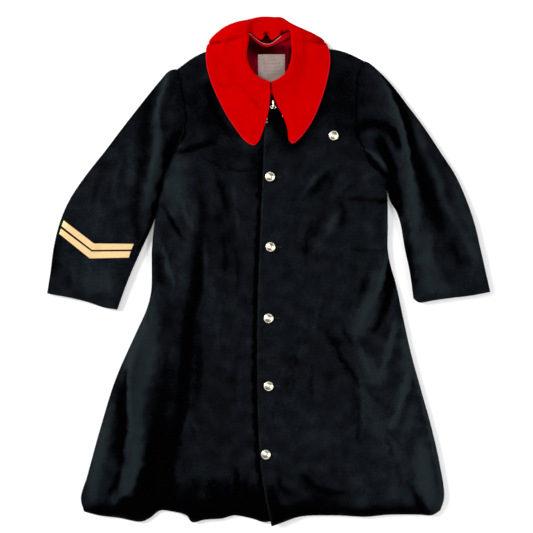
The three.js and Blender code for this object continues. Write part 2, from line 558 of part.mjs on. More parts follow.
// Label, sewn to the lining
const LABEL_SIZE = { left: -27, right: 43, bottom: 494, top: 566, thickness: 1, gap: 0.35 };
const labelPlan = even(4).map((v) =>
  even(4).map((u) => new THREE.Vector3(
    mix(LABEL_SIZE.left, LABEL_SIZE.right, u), mix(LABEL_SIZE.top, LABEL_SIZE.bottom, v), 0)));
add("label", laidOn(lining, labelPlan, LABEL_SIZE.gap, LABEL_SIZE.thickness), LABEL);

// Hanger loop: a narrow band across the neck that sags onto the lining
const LOOP_TOP = [[-57, 622], [-46, 618], [-33, 607], [-18, 597], [-4, 593], [9, 596], [20, 604], [36, 616], [57, 624]];
const LOOP_BOTTOM = [[-57, 612], [-46, 609], [-33, 599], [-18, 589], [-4, 585], [9, 588], [22, 594], [40, 602], [57, 612]];
const loopSteps = even(12);
const loopSides = [pointsAlong(LOOP_TOP, loopSteps), pointsAlong(LOOP_BOTTOM, loopSteps)];
const loopPlan = loopSteps.map((_, i) => [loopSides[0][i], loopSides[0][i].clone().lerp(loopSides[1][i], 0.5), loopSides[1][i]]);
const overLining = (x, y) => heightOn(lining, x, y) ?? nearestHeight(lining, x, y);
const LOOP = { thickness: 1.4, endLift: 2.6, sag: 10, end: 52 }; // it lies on the lining within sag of its middle
const loopHeight = (x, y) => overLining(x, y) + SEAM_GAP + LOOP.endLift * ramp(Math.abs(x), LOOP.sag, LOOP.end);
const loopTop = (x, y) => loopHeight(x, y) + LOOP.thickness;
add("hanger_loop", wall(raised(loopPlan, loopTop), raised(loopPlan, loopHeight)), SCARLET);

// Buttons: a domed face with a raised ring, on a shank
const BUTTON_PROFILE = [
  [0, 0], [0.26, 0], [0.26, 0.3], [0.94, 0.3], [1, 0.48], [0.9, 0.62], [0.81, 0.56], [0.5, 0.88], [0, 1],
];
const BUTTON_GAP = 0.35; // between a button's shank and the cloth
const SHANK_REACH = 4; // the button clears the highest place within this distance
const buttonProfile = BUTTON_PROFILE.map(([r, h]) => new THREE.Vector2(r * BUTTON_RADIUS, h * BUTTON_HEIGHT));
for (const { name, at } of BUTTONS) {
  const turned = new THREE.LatheGeometry(buttonProfile, 16).rotateX(Math.PI / 2);
  const [x, y] = at;
  const foot = even(8).map((t) => {
    const angle = 2 * Math.PI * t;
    return heightOn(frontLeft.upper, x + SHANK_REACH * Math.cos(angle), y + SHANK_REACH * Math.sin(angle));
  });
  const button = add(name, facingOut(turned), BRASS);
  button.position.set(x, y, Math.max(...foot) + BUTTON_GAP);
}

// Chevron: two bars of lace on a dark cloth
const acrossBar = [0, 0.5, 1];
const barSteps = even(16);
const barPlan = (top, bottom) => {
  const along = (line) => {
    const path = new THREE.CurvePath();
    for (let i = 0; i < line.length - 1; i++)
      path.add(new THREE.LineCurve3(new THREE.Vector3(...line[i], 0), new THREE.Vector3(...line[i + 1], 0)));
    return barSteps.map((f) => path.getPoint(f));
  };
  const sides = [along(top), along(bottom)];
  return barSteps.map((_, i) => acrossBar.map((u) => sides[0][i].clone().lerp(sides[1][i], u)));
};
const BACKING_GAP = 0.45; // under the dark cloth, and between it and the lace
const BACKING_THICKNESS = 0.8;
const backingPlan = barPlan(BARS[0].top, BARS[1].bottom);
add("chevron_backing", laidOn(sleeveRight.upper, backingPlan, BACKING_GAP, BACKING_THICKNESS), DARK_RED);
const LACE_GAP = BACKING_GAP + BACKING_THICKNESS + BACKING_GAP;
for (const { name, top, bottom } of BARS)
  add(name, laidOn(sleeveRight.upper, barPlan(top, bottom), LACE_GAP, LACE_THICKNESS), LACE);

// Hook at the throat: one wire bent into two sewing loops and a doubled shank
class WirePath extends THREE.CatmullRomCurve3 {
  constructor(points) {
    super(points.map(([x, y, z]) => new THREE.Vector3(x, y, z)), false, "centripetal");
  }
}
const WIRE_ARC_STEPS = 3; // steps of each half of the wire's round
function wire(points, diameter, steps) {
  const section = new THREE.Shape().absarc(0, 0, diameter / 2, 0, 2 * Math.PI);
  return new THREE.ExtrudeGeometry(section, {
    extrudePath: new WirePath(points), steps, curveSegments: WIRE_ARC_STEPS, bevelEnabled: false,
  });
}
const HOOK = { x: 12, y: 434, wire: 1.6, steps: 40, gap: 0.4, reachX: 7, down: 8, up: 10 };
const HOOK_PATH = [
  [-1.2, -4, 0], [-3, -2.2, 0], [-6, -3, 0], [-6.6, -6, 0], [-4, -8, 0], [-1.6, -6, 1.2], [-1.3, 0, 1.2], [-1.3, 8, 0.6],
  [0, 10.5, 0.6], [1.3, 8, 0.6], [1.3, 0, 1.2], [1.6, -6, 1.2], [4, -8, 0], [6.6, -6, 0], [6, -3, 0], [3, -2.2, 0], [1.6, -4, 0],
];
const hook = add("throat_hook", wire(HOOK_PATH, HOOK.wire, HOOK.steps), BRASS);
const underHook = even(8).map((t) =>
  heightOn(frontLeft.upper, HOOK.x + (2 * t - 1) * HOOK.reachX, HOOK.y + mix(-HOOK.down, HOOK.up, t)));
hook.position.set(HOOK.x, HOOK.y, Math.max(...underHook) + HOOK.gap + HOOK.wire / 2);

// The coat lies with the middle of its underside at the origin.
part.updateMatrixWorld(true);
const extent = new THREE.Box3().setFromObject(part, true);
part.position.set(-(extent.min.x + extent.max.x) / 2, -(extent.min.y + extent.max.y) / 2, -extent.min.z);

export default part;
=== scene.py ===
"""Looks of a military cloak cut as a sleeved greatcoat, laid on its back.

Black wool, a scarlet collar, brass buttons and a chevron of gold lace.
"""

import math

import bmesh
import bpy
import numpy as np
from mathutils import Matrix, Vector
from mathutils.bvhtree import BVHTree


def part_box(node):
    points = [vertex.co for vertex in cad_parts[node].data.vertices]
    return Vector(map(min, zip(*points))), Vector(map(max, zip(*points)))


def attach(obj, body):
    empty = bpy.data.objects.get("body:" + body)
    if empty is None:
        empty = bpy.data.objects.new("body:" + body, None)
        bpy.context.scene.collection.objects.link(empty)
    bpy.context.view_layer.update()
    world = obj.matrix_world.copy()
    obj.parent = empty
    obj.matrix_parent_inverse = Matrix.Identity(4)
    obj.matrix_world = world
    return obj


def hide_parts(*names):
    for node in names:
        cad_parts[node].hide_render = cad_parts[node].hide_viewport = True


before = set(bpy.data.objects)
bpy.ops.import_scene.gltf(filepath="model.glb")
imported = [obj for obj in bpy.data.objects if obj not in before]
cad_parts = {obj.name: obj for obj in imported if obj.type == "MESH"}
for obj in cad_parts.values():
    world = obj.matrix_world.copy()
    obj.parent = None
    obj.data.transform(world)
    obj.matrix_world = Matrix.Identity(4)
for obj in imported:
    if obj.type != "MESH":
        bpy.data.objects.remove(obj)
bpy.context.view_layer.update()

# Sizes in millimetres, in the maker's own plan: x to the left front, y from hem to collar, z up.
MM = 0.001
BUTTON_SPOTS = {
    "button_1": (4, 247), "button_2": (5, 65), "button_3": (0, -120),
    "button_4": (0, -296), "button_5": (-7, -473), "button_chest": (169, 354),
}
_low, _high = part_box("button_1")
SHIFT = np.array([
    (_low.x + _high.x) / 2 / MM - BUTTON_SPOTS["button_1"][0],
    (_low.y + _high.y) / 2 / MM - BUTTON_SPOTS["button_1"][1],
    0.0,
])

CLOTH = 3.0
COLLAR_CLOTH = 3.0
WALL = 2.6  # the cloth's own wall
UNDER_WALL = CLOTH - 0.2  # wall of the pieces on the floor
UNDER_TOP = CLOTH - 0.1  # and the height of their upper face
SEAM_GAP = 0.4
LAYER_GAP = 0.6
BODY_LOFT = 9.0
SLEEVE_LOFT = 14.0
SIDE_ROLL = 30.0
SHOULDER_ROLL = 30.0
HEM_ROLL = 48.0
SLEEVE_ROLL = 38.0
CUFF_ROLL = 26.0
CUFF_OPEN = 0.2
COLLAR_LIFT = 3.8  # the back's rise over the collar's back fall
TUCK = 5.6  # the under pieces stop this far inside a turned edge
MEETING = 1.2  # and go this far out where a sleeve touches the body
ROLL_UNDER = ((0.0, 0.4, 4.4), (0.8, 1.4, 1.9), (2.9, 2.4, 0.45))  # inwards, drop of a dip, height of a turn
NECK_TURN = (72, 90)  # the shoulder's turn starts between these distances from the middle
OVERLAP = (46, 95)  # the left front comes down from the right one between these places
ARMHOLE_STEPS = 17
CAP_STEPS = 13
SIDE_STEPS = 23
BODY_STEPS = ARMHOLE_STEPS + SIDE_STEPS
SLEEVE_STEPS = 20
COLLAR_ROUND = 300
STAND_SHARE = 1 / 3  # the collar's roll lies this far along a section
SLEEVE_CUT = (0.25, 0.69)  # in metres
COLLAR_CUT = (0.62, 0.19)  # in metres, before its leaf was shrunk and stretched to lie
LIE = LAYER_GAP + COLLAR_CLOTH / 2 + 0.4
UNDER = COLLAR_CLOTH / 2
BRIDGE = 9  # the collar bridges the edge of the left front over this distance
COLLAR_WEAR_AND_SHEEN = 1.9  # its worn rim, which also carries a painted sheen, fades over this distance
LINING_MIDDLE = 3
LINING_NET = (60, 60)  # places down and across
LABEL_NET = (46, 46)
LOOP_NET = (70, 12)
LABEL_GAP = 1.25  # from the lining to the label's upper face, and so on
LOOP_GAP = 1.9
BACKING_GAP = 1.15
LACE_GAP = 2.3
LACE_RIBS = 8
PETALS = 8

RIGHT = {
    "neck": [(-70, 620), (-75, 592), (-76, 560), (-68, 528), (-50, 499), (-28, 478), (4, 464), (34, 452),
             (38, 395), (38, 320)],
    "front_edge": [(38, 320), (36, 40), (34, -300), (38, -500), (42, -640)],
    "shoulder": [(-70, 620), (-100, 604), (-130, 587), (-152, 577), (-175, 569), (-200, 556), (-238, 528)],
    "armhole": [(-238, 528), (-229, 493), (-220, 445), (-214, 397), (-217, 360), (-230, 335), (-244, 312)],
    "side": [(-244, 312), (-262, 285), (-274, 250), (-286, 200), (-296, 138), (-304, 60), (-306, -50),
             (-318, -98), (-344, -156), (-399, -281), (-438, -406), (-472, -530), (-489, -590), (-481, -624)],
    "hem": [(42, -640), (-12, -651), (-43, -642), (-90, -634), (-121, -642), (-168, -645), (-199, -652),
            (-214, -633), (-246, -624), (-282, -621), (-308, -640), (-331, -650), (-391, -640), (-438, -634),
            (-481, -624)],
}
LEFT = {
    "neck": [(70, 620), (75, 592), (76, 560), (69, 528), (52, 499), (30, 478), (8, 466), (-8, 452),
             (-9, 395), (-12, 320)],
    "front_edge": [(-12, 320), (-16, 221), (-24, 39), (-29, -146), (-29, -294), (-26, -408), (-20, -502),
                   (-9, -580), (8, -662)],
    "shoulder": [(70, 620), (100, 606), (130, 592), (152, 581), (170, 579), (188, 576), (210, 569),
                 (250, 549)],
    "armhole": [(250, 549), (236, 515), (229, 464), (228, 419), (229, 372), (236, 346), (250, 317),
                (278, 278), (306, 250)],
    "side": [(306, 250), (310, 195), (311, 125), (311, 57), (318, 18), (332, -31), (352, -125), (373, -218),
             (399, -312), (425, -406), (446, -499), (458, -585), (449, -620)],
    "hem": [(8, -662), (35, -652), (82, -637), (176, -634), (254, -637), (316, -632), (394, -632),
            (425, -633), (449, -620)],
}
RIGHT_SLEEVE = {
    "inner": [(-245, 312), (-263, 285.6), (-275, 250.3), (-287, 200.2), (-297, 138.2), (-315, 94), (-344, 31),
              (-370, -31), (-394, -98)],
    "outer": [(-238, 528), (-259, 523), (-282, 499), (-332, 437), (-381, 374), (-428, 312), (-477, 250),
              (-519, 187), (-545, 125), (-560, 62), (-568, 0), (-577, -56)],
    "cuff": [(-394, -98), (-430, -92), (-464, -80), (-516, -67), (-577, -56)],
}
LEFT_SLEEVE = {
    "inner": [(306, 250), (315, 190), (334, 156), (344, 125), (355, 62), (368, 0), (378, -70)],
    "outer": [(250, 549), (266, 541), (311, 499), (360, 437), (407, 374), (448, 312), (488, 250),
              (516, 187), (537, 125), (552, 62), (566, 0), (578, -52)],
    "cuff": [(378, -70), (392, -79), (430, -74), (472, -68), (524, -62), (578, -52)],
}
BACK_TOP = [(-238, 528), (-200, 556), (-152, 577), (-100, 604), (-66, 619), (-30, 616), (30, 616), (66, 619),
            (100, 606), (152, 581), (188, 576), (250, 549)]
BACK_HEM = [(-480, -620), (-380, -628), (-282, -617), (-150, -628), (0, -634), (200, -630), (448, -617)]

# Folds of the fronts and sleeves: width, height (a trough is negative) and the path, then the share of the
# height that is left at its ends where that isn't 0, and the steepness on its right where that isn't 1
FOLDS = [
    # large forms
    (34, 17, [(-306, -83), (-335, -164), (-356, -231), (-363, -289), (-356, -348), (-356, -439),
              (-368, -560)], 0.45, 0.55),
    (15, -6, [(-336, -120), (-376, -268), (-391, -359), (-393, -437), (-384, -494)], 0.45),
    (20, -9, [(-176, 114), (-172, 31), (-173, -47), (-188, -104), (-207, -190), (-214, -273),
              (-238, -411)], 0.45),
    (20, 6, [(-214, 211), (-188, 150), (-206, 60), (-212, -20)], 0.45),
    (20, -9, [(-269, -390), (-282, -437), (-294, -481), (-302, -546), (-306, -630)], 0.45),
    (26, 8, [(-235, -480), (-240, -630)], 0.45),
    (26, 7, [(-152, -560), (-160, -640)], 0.45),
    (22, 6, [(-430, -411), (-451, -515), (-440, -620)], 0.45),
    (14, 5, [(-290, 117), (-273, 57), (-251, -3), (-240, -73)], 0.45),
    (15, -5, [(183, 263), (168, 221), (154, 190), (152, 148), (121, 91), (108, 57)], 0.45),
    (14, 4, [(186, 151), (164, 101), (143, 83)], 0.45),
    (16, 10, [(309, 42), (292, -16), (269, -77), (243, -125), (228, -151)], 0.45, 1.5),
    (13, -9, [(316, 36), (323, -34), (311, -86), (290, -125)], 0.45),
    (16, 6, [(364, -224), (355, -309), (332, -387)], 0.45),
    (14, -4, [(199, -234), (228, -281), (233, -341), (235, -411)], 0.45),
    (22, 7, [(407, -463), (425, -620)], 0.45),
    (30, 5, [(254, -500), (250, -636)], 0.45),
    (14, 10, [(-252, 512), (-275, 452), (-286, 400), (-281, 338), (-298, 265), (-318, 156)], 0.45),
    (20, -7, [(-282, 486), (-308, 408), (-318, 343), (-326, 270)], 0.45),
    (14, -9, [(-222, 372), (-244, 340), (-258, 300)], 0.45),
    (14, -5, [(-349, 170), (-335, 117), (-330, 70)], 0.45),
    (14, 12, [(281, 518), (307, 476), (329, 428), (346, 380), (358, 335), (366, 283), (380, 225),
              (391, 130)], 0.45, 1.5),
    (16, -7, [(355, 421), (376, 343), (399, 252), (420, 174), (446, 122)], 0.45),
    (14, 8, [(391, 380), (414, 302), (445, 239), (459, 182), (503, 112), (545, 40)], 0.45),
    (13, -7, [(235, 374), (264, 385), (295, 385), (324, 374), (339, 322)], 0.45),
    (15, -10, [(280, 346), (303, 328), (321, 291), (330, 240), (326, 190)], 0.45),
    (12, 5, [(425, 81), (422, 36), (453, -9), (470, -51)], 0.45),
    # creases of the right front
    (7, -2.4, [(-238, 313), (-204, 312), (-168, 325), (-134, 328)]),
    (8, -4.0, [(-266, 164), (-243, 122), (-220, 83)], 0.1),
    (8, 3.0, [(-164, 117), (-159, 30), (-160, -29)], 0.1, 0.7),
    (8, -5.0, [(-176, 100), (-173, 31), (-174, -47), (-189, -104), (-206, -170)]),
    (6, -2.2, [(-133, 252), (-122, 200)]),
    (6, -2.0, [(-122, 270), (-84, 252), (-48, 242)]),
    (9, -3.5, [(-390, -536), (-402, -560), (-415, -600)]),
    (5, -2.4, [(-202, -385), (-192, -414), (-184, -439)]),
    (6, -3.0, [(-75, -515), (-80, -560), (-84, -634)], 0.4),
    (9, -2.5, [(-131, -554), (-136, -640)], 0.4),
    (11, -5.0, [(-286, -450), (-300, -530), (-306, -636)], 0.3),
    (12, 3.5, [(-330, -140), (-352, -225), (-360, -290), (-353, -350), (-352, -440)], 0.0, 0.6),
    (8, -2.5, [(-252, -180), (-262, -240), (-262, -310)]),
    (10, 2.2, [(-120, -60), (-128, -150), (-122, -240)]),
    (9, -1.8, [(-70, -180), (-84, -270), (-80, -370)]),
    # creases of the left front
    (10, -2.6, [(110, 304), (90, 281), (69, 257)]),
    (8, -3.0, [(148, 250), (116, 213), (84, 172)]),
    (4.5, -1.6, [(162, 187), (232, 182), (306, 181)]),
    (6, 2.2, [(136, 65), (186, 57), (230, 51), (269, 56), (303, 53)]),
    (8, 2.6, [(233, 242), (206, 224), (181, 203)]),
    (8, -2.6, [(289, 140), (294, 118), (297, 99)]),
    (10, 4.0, [(331, -145), (316, -190), (303, -247)]),
    (6, 2.4, [(228, -164), (246, -205), (269, -268), (294, -317)]),
    (8, -2.6, [(90, -164), (66, -224), (53, -291), (61, -333)]),
    (12, -4.0, [(92, -533), (113, -559), (143, -590)], 0.1),
    (6, -3.0, [(391, -554), (404, -592), (415, -632)], 0.4),
    (9, 2.4, [(150, -40), (128, -110), (120, -170)]),
    (9, -2.0, [(170, -430), (176, -500), (168, -560)]),
    # creases of the right sleeve
    (5, -1.8, [(-258, 498), (-246, 496), (-232, 493)]),
    (5, -1.8, [(-256, 459), (-244, 461), (-231, 464)]),
    (7, -2.6, [(-278, 374), (-250, 377), (-216, 380)]),
    (8, -4.0, [(-230, 367), (-251, 335), (-261, 291)], 0.2),
    (10, -3.4, [(-518, 29), (-514, -14), (-510, -55)]),
    (10, 2.6, [(-420, 5), (-407, -34), (-412, -80)]),
    (9, 3.2, [(-372, 300), (-392, 240), (-396, 180)]),
    (9, -2.6, [(-430, 250), (-446, 196), (-450, 150)]),
    # creases of the left sleeve
    (9, 3.4, [(243, 356), (285, 367), (311, 351), (332, 312), (342, 283)]),
    (8, -5.0, [(280, 346), (303, 328), (321, 291), (339, 260)]),
    (9, 3.4, [(259, 317), (298, 302), (324, 270), (334, 252)]),
    (8, -3.4, [(254, 312), (280, 283), (306, 250)]),
    (9, -4.0, [(324, 250), (325, 200), (326, 156)]),
    (9, -4.0, [(479, 81), (492, 52), (501, 25)]),
    (5, -2.2, [(352, 135), (368, 132), (382, 129)]),
    (8, 3.0, [(330, 430), (348, 380), (360, 330)]),
]
# Painted light (a positive strength) and painted shade and shadow (a negative one) where folds, ridges,
# hollows and edges catch or lose the light, and dark armhole seam lines: width, strength and the path
PAINTED_SHADING = [
    # right front: painted light on the ridge of the skirt and its rim, and painted shadow in the wedge beside
    # it
    (24, 1.9, [(-309, -100), (-316, -170), (-319, -235), (-334, -305)]),
    (11, 1.9, [(-337, -290), (-338, -380), (-341, -460), (-347, -522), (-364, -564), (-398, -598)]),
    (13, -2.8, [(-330, -536), (-340, -590), (-356, -634)]),
    (5, 1.0, [(-326, -150), (-348, -205), (-359, -260), (-361, -300), (-356, -350), (-352, -420)]),
    (5, -1.5, [(-315, -104), (-309, -136)]),
    (11, -4.4, [(-366, -262), (-374, -310), (-379, -350), (-378, -400), (-384, -450), (-382, -490)]),
    (7, -1.6, [(-384, -496), (-396, -550), (-411, -578)]),
    (15, 1.3, [(-400, -330), (-418, -400), (-432, -460), (-446, -520), (-456, -580)]),
    (24, -1.3, [(-258, -240), (-268, -300), (-280, -350), (-286, -400)]),
    (26, -2.0, [(-264, -410), (-258, -460), (-262, -520), (-264, -590)]),
    (16, -4.0, [(-284, -390), (-291, -440), (-302, -500), (-304, -560), (-302, -634)]),
    (9, -2.0, [(-328, -520), (-330, -580), (-340, -634)]),
    (11, -4.2, [(-206, -90), (-208, -160), (-212, -220), (-217, -280), (-223, -340), (-233, -390),
                (-250, -450), (-264, -510)]),
    (12, -1.2, [(-183, 50), (-188, 0), (-194, -40), (-202, -80)]),
    (12, -1.1, [(-188, -120), (-181, -200), (-182, -260), (-198, -340)]),
    (10, -1.0, [(-256, -520), (-250, -560), (-262, -590)]),
    (5, -2.0, [(-84, -512), (-81, -560), (-83, -610)]),
    (5, -0.9, [(-110, -540), (-105, -570), (-106, -612)]),
    (5, -0.8, [(-146, -536), (-150, -575)]),
    (5, -0.7, [(-52, -520), (-60, -560), (-58, -600)]),
    (46, 0.2, [(-110, -330), (-120, -390), (-110, -440)]),
    (5.5, -3.0, [(-18, 322), (-22, 221), (-30, 39), (-35, -146), (-35, -294), (-32, -408), (-26, -502),
                 (-15, -580), (2, -662)]),
    (16, -0.8, [(-30, 330), (-34, 270), (-32, 220)]),
    # right front, upper half
    (5, 1.2, [(-273, 64), (-266, 30), (-256, -4), (-244, -34)]),
    (16, 0.2, [(-240, 40), (-236, -10), (-230, -70)]),
    (14, -0.9, [(-284, 50), (-286, 10), (-270, -40)]),
    (18, -0.7, [(-262, -70), (-262, -120), (-240, -180)]),
    (24, 1.0, [(-238, 300), (-240, 245), (-246, 200), (-262, 150)]),
    (6, -1.7, [(-238, 312), (-200, 320), (-164, 334), (-140, 337)]),
    (5, -1.3, [(-275, 173), (-255, 141), (-235, 106), (-217, 82)]),
    (6, 0.9, [(-232, 196), (-216, 150), (-196, 112)]),
    (9, -0.6, [(-182, 246), (-173, 150), (-166, 70)]),
    (7, -1.0, [(-134, 256), (-118, 205), (-106, 146)]),
    (6, 0.3, [(-152, 226), (-148, 170), (-140, 110)]),
    (6, 0.5, [(-94, 226), (-82, 150), (-76, 90)]),
    (5, -1.1, [(-108, 271), (-84, 263), (-50, 267)]),
    (5, -0.8, [(-152, 286), (-132, 279), (-120, 264)]),
    (5, -0.8, [(-120, 100), (-112, 40), (-116, -10)]),
    (5, -0.6, [(-84, 60), (-78, 0), (-84, -60)]),
    (11, -1.9, [(-158, 490), (-150, 444), (-132, 402), (-104, 366)]),
    (46, -0.7, [(-206, 540), (-190, 440), (-156, 380), (-110, 330)]),
    (24, -0.35, [(-60, 320), (-110, 300), (-170, 300)]),
    (40, -0.5, [(-150, 200), (-120, 100), (-100, 0)]),
    # hem: painted shade where it rolls down
    (30, -3.0, [(-330, -630), (-282, -612), (-210, -624), (-120, -616), (-60, -616), (10, -640)]),
    (26, -0.9, [(-260, -570), (-150, -566), (-60, -570)]),
    (60, -0.35, [(-150, -250), (-130, -380), (-120, -500)]),
    (24, -0.9, [(70, -570), (130, -590), (190, -600)]),
    (12, -2.0, [(-400, -610), (-372, -596), (-350, -600)]),
    (15, -2.0, [(-480, -622), (-420, -622), (-372, -622)]),
    (20, -1.9, [(10, -640), (60, -622), (120, -620), (170, -628)]),
    (20, -1.7, [(-64, -556), (-36, -588), (-16, -622)]),
    (14, -1.8, [(2, -560), (14, -600), (26, -634)]),
    (14, -1.2, [(-300, -560), (-270, -590), (-230, -600)]),
    (13, -1.9, [(180, -622), (250, -624), (330, -622), (410, -624)]),
    (8, -1.5, [(86, -526), (112, -551), (152, -571), (204, -572)]),
    (9, -0.9, [(24, -520), (34, -560), (60, -580)]),
    (10, 0.5, [(60, -552), (100, -580), (140, -590)]),
    # left front
    (6.5, 2.4, [(310, 44), (297, -5), (283, -54), (273, -80)]),
    (16, 1.8, [(275, -78), (262, -110), (245, -138), (226, -164)]),
    (9, -2.6, [(317, 26), (315, -20), (310, -60), (304, -100)]),
    (8, -1.2, [(302, -108), (288, -136), (264, -160)]),
    (9, -0.9, [(262, 4), (248, -38), (234, -88)]),
    (9, 1.5, [(331, -130), (322, -170), (312, -214), (298, -252), (284, -282)]),
    (16, 1.2, [(246, -212), (262, -250), (282, -292)]),
    (5, -1.3, [(164, -172), (184, -214), (205, -246), (225, -275), (236, -300)]),
    (14, -0.8, [(150, -150), (166, -176), (190, -190)]),
    (6, -1.0, [(194, -138), (204, -164), (214, -190)]),
    (5, -0.8, [(233, -326), (236, -390), (232, -456)]),
    (5, -0.5, [(246, -292), (270, -318), (296, -345)]),
    (6.5, 2.0, [(370, -200), (368, -250), (352, -310), (335, -370), (318, -402)]),
    (34, 0.6, [(236, -280), (270, -370), (320, -470), (372, -570)]),
    (9, -0.4, [(386, -290), (396, -320), (406, -360)]),
    (8, 1.9, [(350, -176), (361, -215), (369, -252), (364, -286), (354, -312)]),
    (6, 2.2, [(350, -140), (371, -226), (396, -318), (421, -410), (441, -500), (452, -585), (446, -618)]),
    (16, 0.8, [(374, -340), (366, -390), (344, -420)]),
    (24, 1.6, [(396, -448), (406, -520), (418, -580), (432, -606)]),
    (7, -0.5, [(333, -492), (338, -524), (342, -548)]),
    (6, -0.9, [(362, -548), (378, -572), (392, -600)]),
    (11, -1.6, [(384, -584), (398, -610), (408, -630)]),
    (5, -0.35, [(300, -398), (326, -428), (346, -462)]),
    (5, -0.8, [(306, -432), (316, -458), (326, -486)]),
    (20, 0.5, [(300, -540), (320, -570), (350, -600)]),
    (5, -0.7, [(78, -196), (66, -250), (60, -320)]),
    (5, -0.6, [(116, -236), (110, -290), (114, -340)]),
    (30, -0.2, [(146, -180), (160, -250), (184, -320)]),
    (40, 0.3, [(60, -380), (120, -420), (190, -430)]),
    # left front, upper half
    (8, -1.2, [(156, 258), (132, 226), (106, 188)]),
    (7, 0.6, [(132, 262), (110, 230), (86, 196)]),
    (7, 0.4, [(176, 160), (164, 126), (148, 94)]),
    (8, -0.8, [(184, 186), (196, 160), (190, 120)]),
    (5, -0.8, [(180, 192), (240, 190), (304, 187)]),
    (5, -2.2, [(286, 183), (306, 181)]),
    (5, -0.6, [(198, 58), (250, 56), (306, 52)]),
    (12, 0.7, [(254, 244), (280, 262), (298, 250)]),
    (5, 0.7, [(304, 174), (308, 120), (308, 56)]),
    (14, 0.4, [(240, 140), (262, 110), (270, 70)]),
    (5, -0.7, [(112, 130), (96, 80), (98, 20)]),
    (16, -5.0, [(4, 476), (14, 436), (24, 400), (34, 364)]),
    (9, -3.0, [(38, 404), (45, 372), (50, 345)]),
    (24, -0.9, [(14, 330), (60, 322), (96, 370), (140, 430), (164, 500)]),
    (50, -0.8, [(184, 560), (200, 490), (206, 410), (226, 330)]),
    (36, -0.25, [(262, 536), (286, 470), (296, 420)]),
    # right sleeve
    (4, 1.1, [(-258, 534), (-272, 480), (-286, 432), (-285, 396), (-283, 366)]),
    (12, 1.2, [(-276, 352), (-288, 300), (-298, 240), (-310, 176)]),
    (19, -0.55, [(-302, 470), (-310, 400), (-314, 340), (-324, 280), (-334, 210)]),
    (10, -0.3, [(-238, 500), (-232, 440), (-234, 392)]),
    (26, -0.9, [(-322, 470), (-386, 400), (-452, 300)]),
    (22, 0.7, [(-346, 330), (-352, 260), (-366, 190)]),
    (30, 0.4, [(-470, 190), (-450, 130), (-484, 110)]),
    (14, -0.8, [(-334, 300), (-342, 200), (-350, 130)]),
    (38, 0.8, [(-500, 6), (-440, -24), (-410, -50)]),
    (20, -0.8, [(-556, 90), (-560, 40), (-566, -20)]),
    (9, -2.8, [(-228, 362), (-242, 338), (-256, 312), (-268, 278)]),
    (6, -2.0, [(-264, 288), (-280, 232), (-294, 170), (-312, 106), (-332, 64)]),
    # left sleeve
    (5, 1.8, [(283, 518), (307, 478), (327, 428), (343, 388), (355, 348), (365, 284), (372, 220)]),
    (11, -1.7, [(300, 512), (330, 458), (352, 400), (368, 340), (378, 280)]),
    (20, 0.7, [(368, 230), (376, 170), (378, 110), (386, 40)]),
    (6, -2.0, [(234, 366), (262, 384), (290, 380), (320, 374), (336, 330)]),
    (8, -2.6, [(316, 374), (328, 350), (340, 322)]),
    (8, 0.6, [(240, 352), (270, 358), (290, 346)]),
    (16, -0.6, [(238, 374), (290, 374), (330, 344)]),
    (10, -4.0, [(288, 342), (300, 316), (313, 286), (328, 250)]),
    (5, 1.3, [(244, 322), (272, 306), (300, 276), (324, 254)]),
    (7, -2.4, [(262, 296), (286, 268), (308, 246)]),
    (11, -4.0, [(318, 246), (327, 214), (334, 182), (338, 152)]),
    (18, -1.6, [(388, 310), (410, 240), (430, 170), (440, 120)]),
    (10, -1.3, [(356, 120), (366, 40), (376, -50)]),
    (20, -0.6, [(450, 130), (480, 60), (500, 10)]),
    (22, 0.7, [(470, 250), (510, 160), (540, 60), (556, -10)]),
    (24, 0.8, [(400, 100), (410, 30), (420, -40), (480, -50)]),
    # armhole seams
    (3, -1.1, RIGHT["armhole"]), (3, -1.1, LEFT["armhole"]),
]
# Painted light and shade on the collar, with painted shadows at the stand and beside the hanger loop: width,
# strength and the path
COLLAR_PAINTED_SHADING = [
    (26, -0.3, [(-60, 655), (0, 662), (60, 650)]),
    (14, 0.6, [(-34, 632), (0, 634), (26, 636)]),
    (11, 0.9, [(-76, 646), (-96, 622), (-118, 596), (-128, 566)]),
    (9, -0.9, [(-84, 640), (-104, 612), (-126, 586), (-138, 560)]),
    (6, -0.7, [(-148, 513), (-131, 494), (-112, 480), (-83, 486), (-61, 470)]),
    (6, -0.4, [(-61, 470), (-23, 426), (-13, 408)]),
    (24, -0.5, [(96, 632), (126, 600), (140, 560)]),
    (26, 0.5, [(-110, 500), (-84, 440), (-60, 390)]),
    (26, 0.5, [(96, 500), (84, 430), (70, 380)]),
    (10, -0.3, [(-50, 608), (-56, 560), (-44, 515)]),
    (10, -0.3, [(60, 608), (62, 560), (48, 515)]),
    (5, -2.4, [(29, 612), (33, 620), (34, 628)]),
    (6, -1.6, [(-6, 610), (-4, 618), (-2, 612)]),
]
# Painted shadows around the hanger loop and beside the collar, and painted light, on the lining: width,
# strength and the path
LINING_PAINTED_SHADING = [
    (11, -3.0, [(-14, 606), (-4, 610), (8, 604)]),
    (18, -1.5, [(-52, 604), (-30, 584), (0, 576), (30, 580)]),
    (5, -1.8, [(62, 590), (62, 566), (54, 536), (48, 518)]),
    (13, 2.4, [(32, 598), (44, 602), (56, 606)]),
    (14, 0.4, [(-48, 556), (-46, 530), (-34, 505)]),
]
# Shallow hollows in the back, which lies on the floor
BACK_FOLDS = [
    (16, 1.8, [(-180, 240), (-196, 120), (-188, 10), (-210, -120)], 0.1),
    (22, 2.0, [(-290, -180), (-330, -320), (-350, -470), (-362, -600)], 0.2),
    (14, 1.5, [(150, 210), (172, 100), (166, -30)], 0.1),
    (20, 1.8, [(236, -60), (282, -220), (312, -400), (330, -590)], 0.2),
    (15, 1.4, [(-60, -300), (-92, -430), (-98, -600)], 0.2),
    (12, 1.3, [(40, 330), (62, 230), (48, 130)]),
    (17, 1.6, [(96, -330), (120, -470), (118, -600)], 0.2),
]

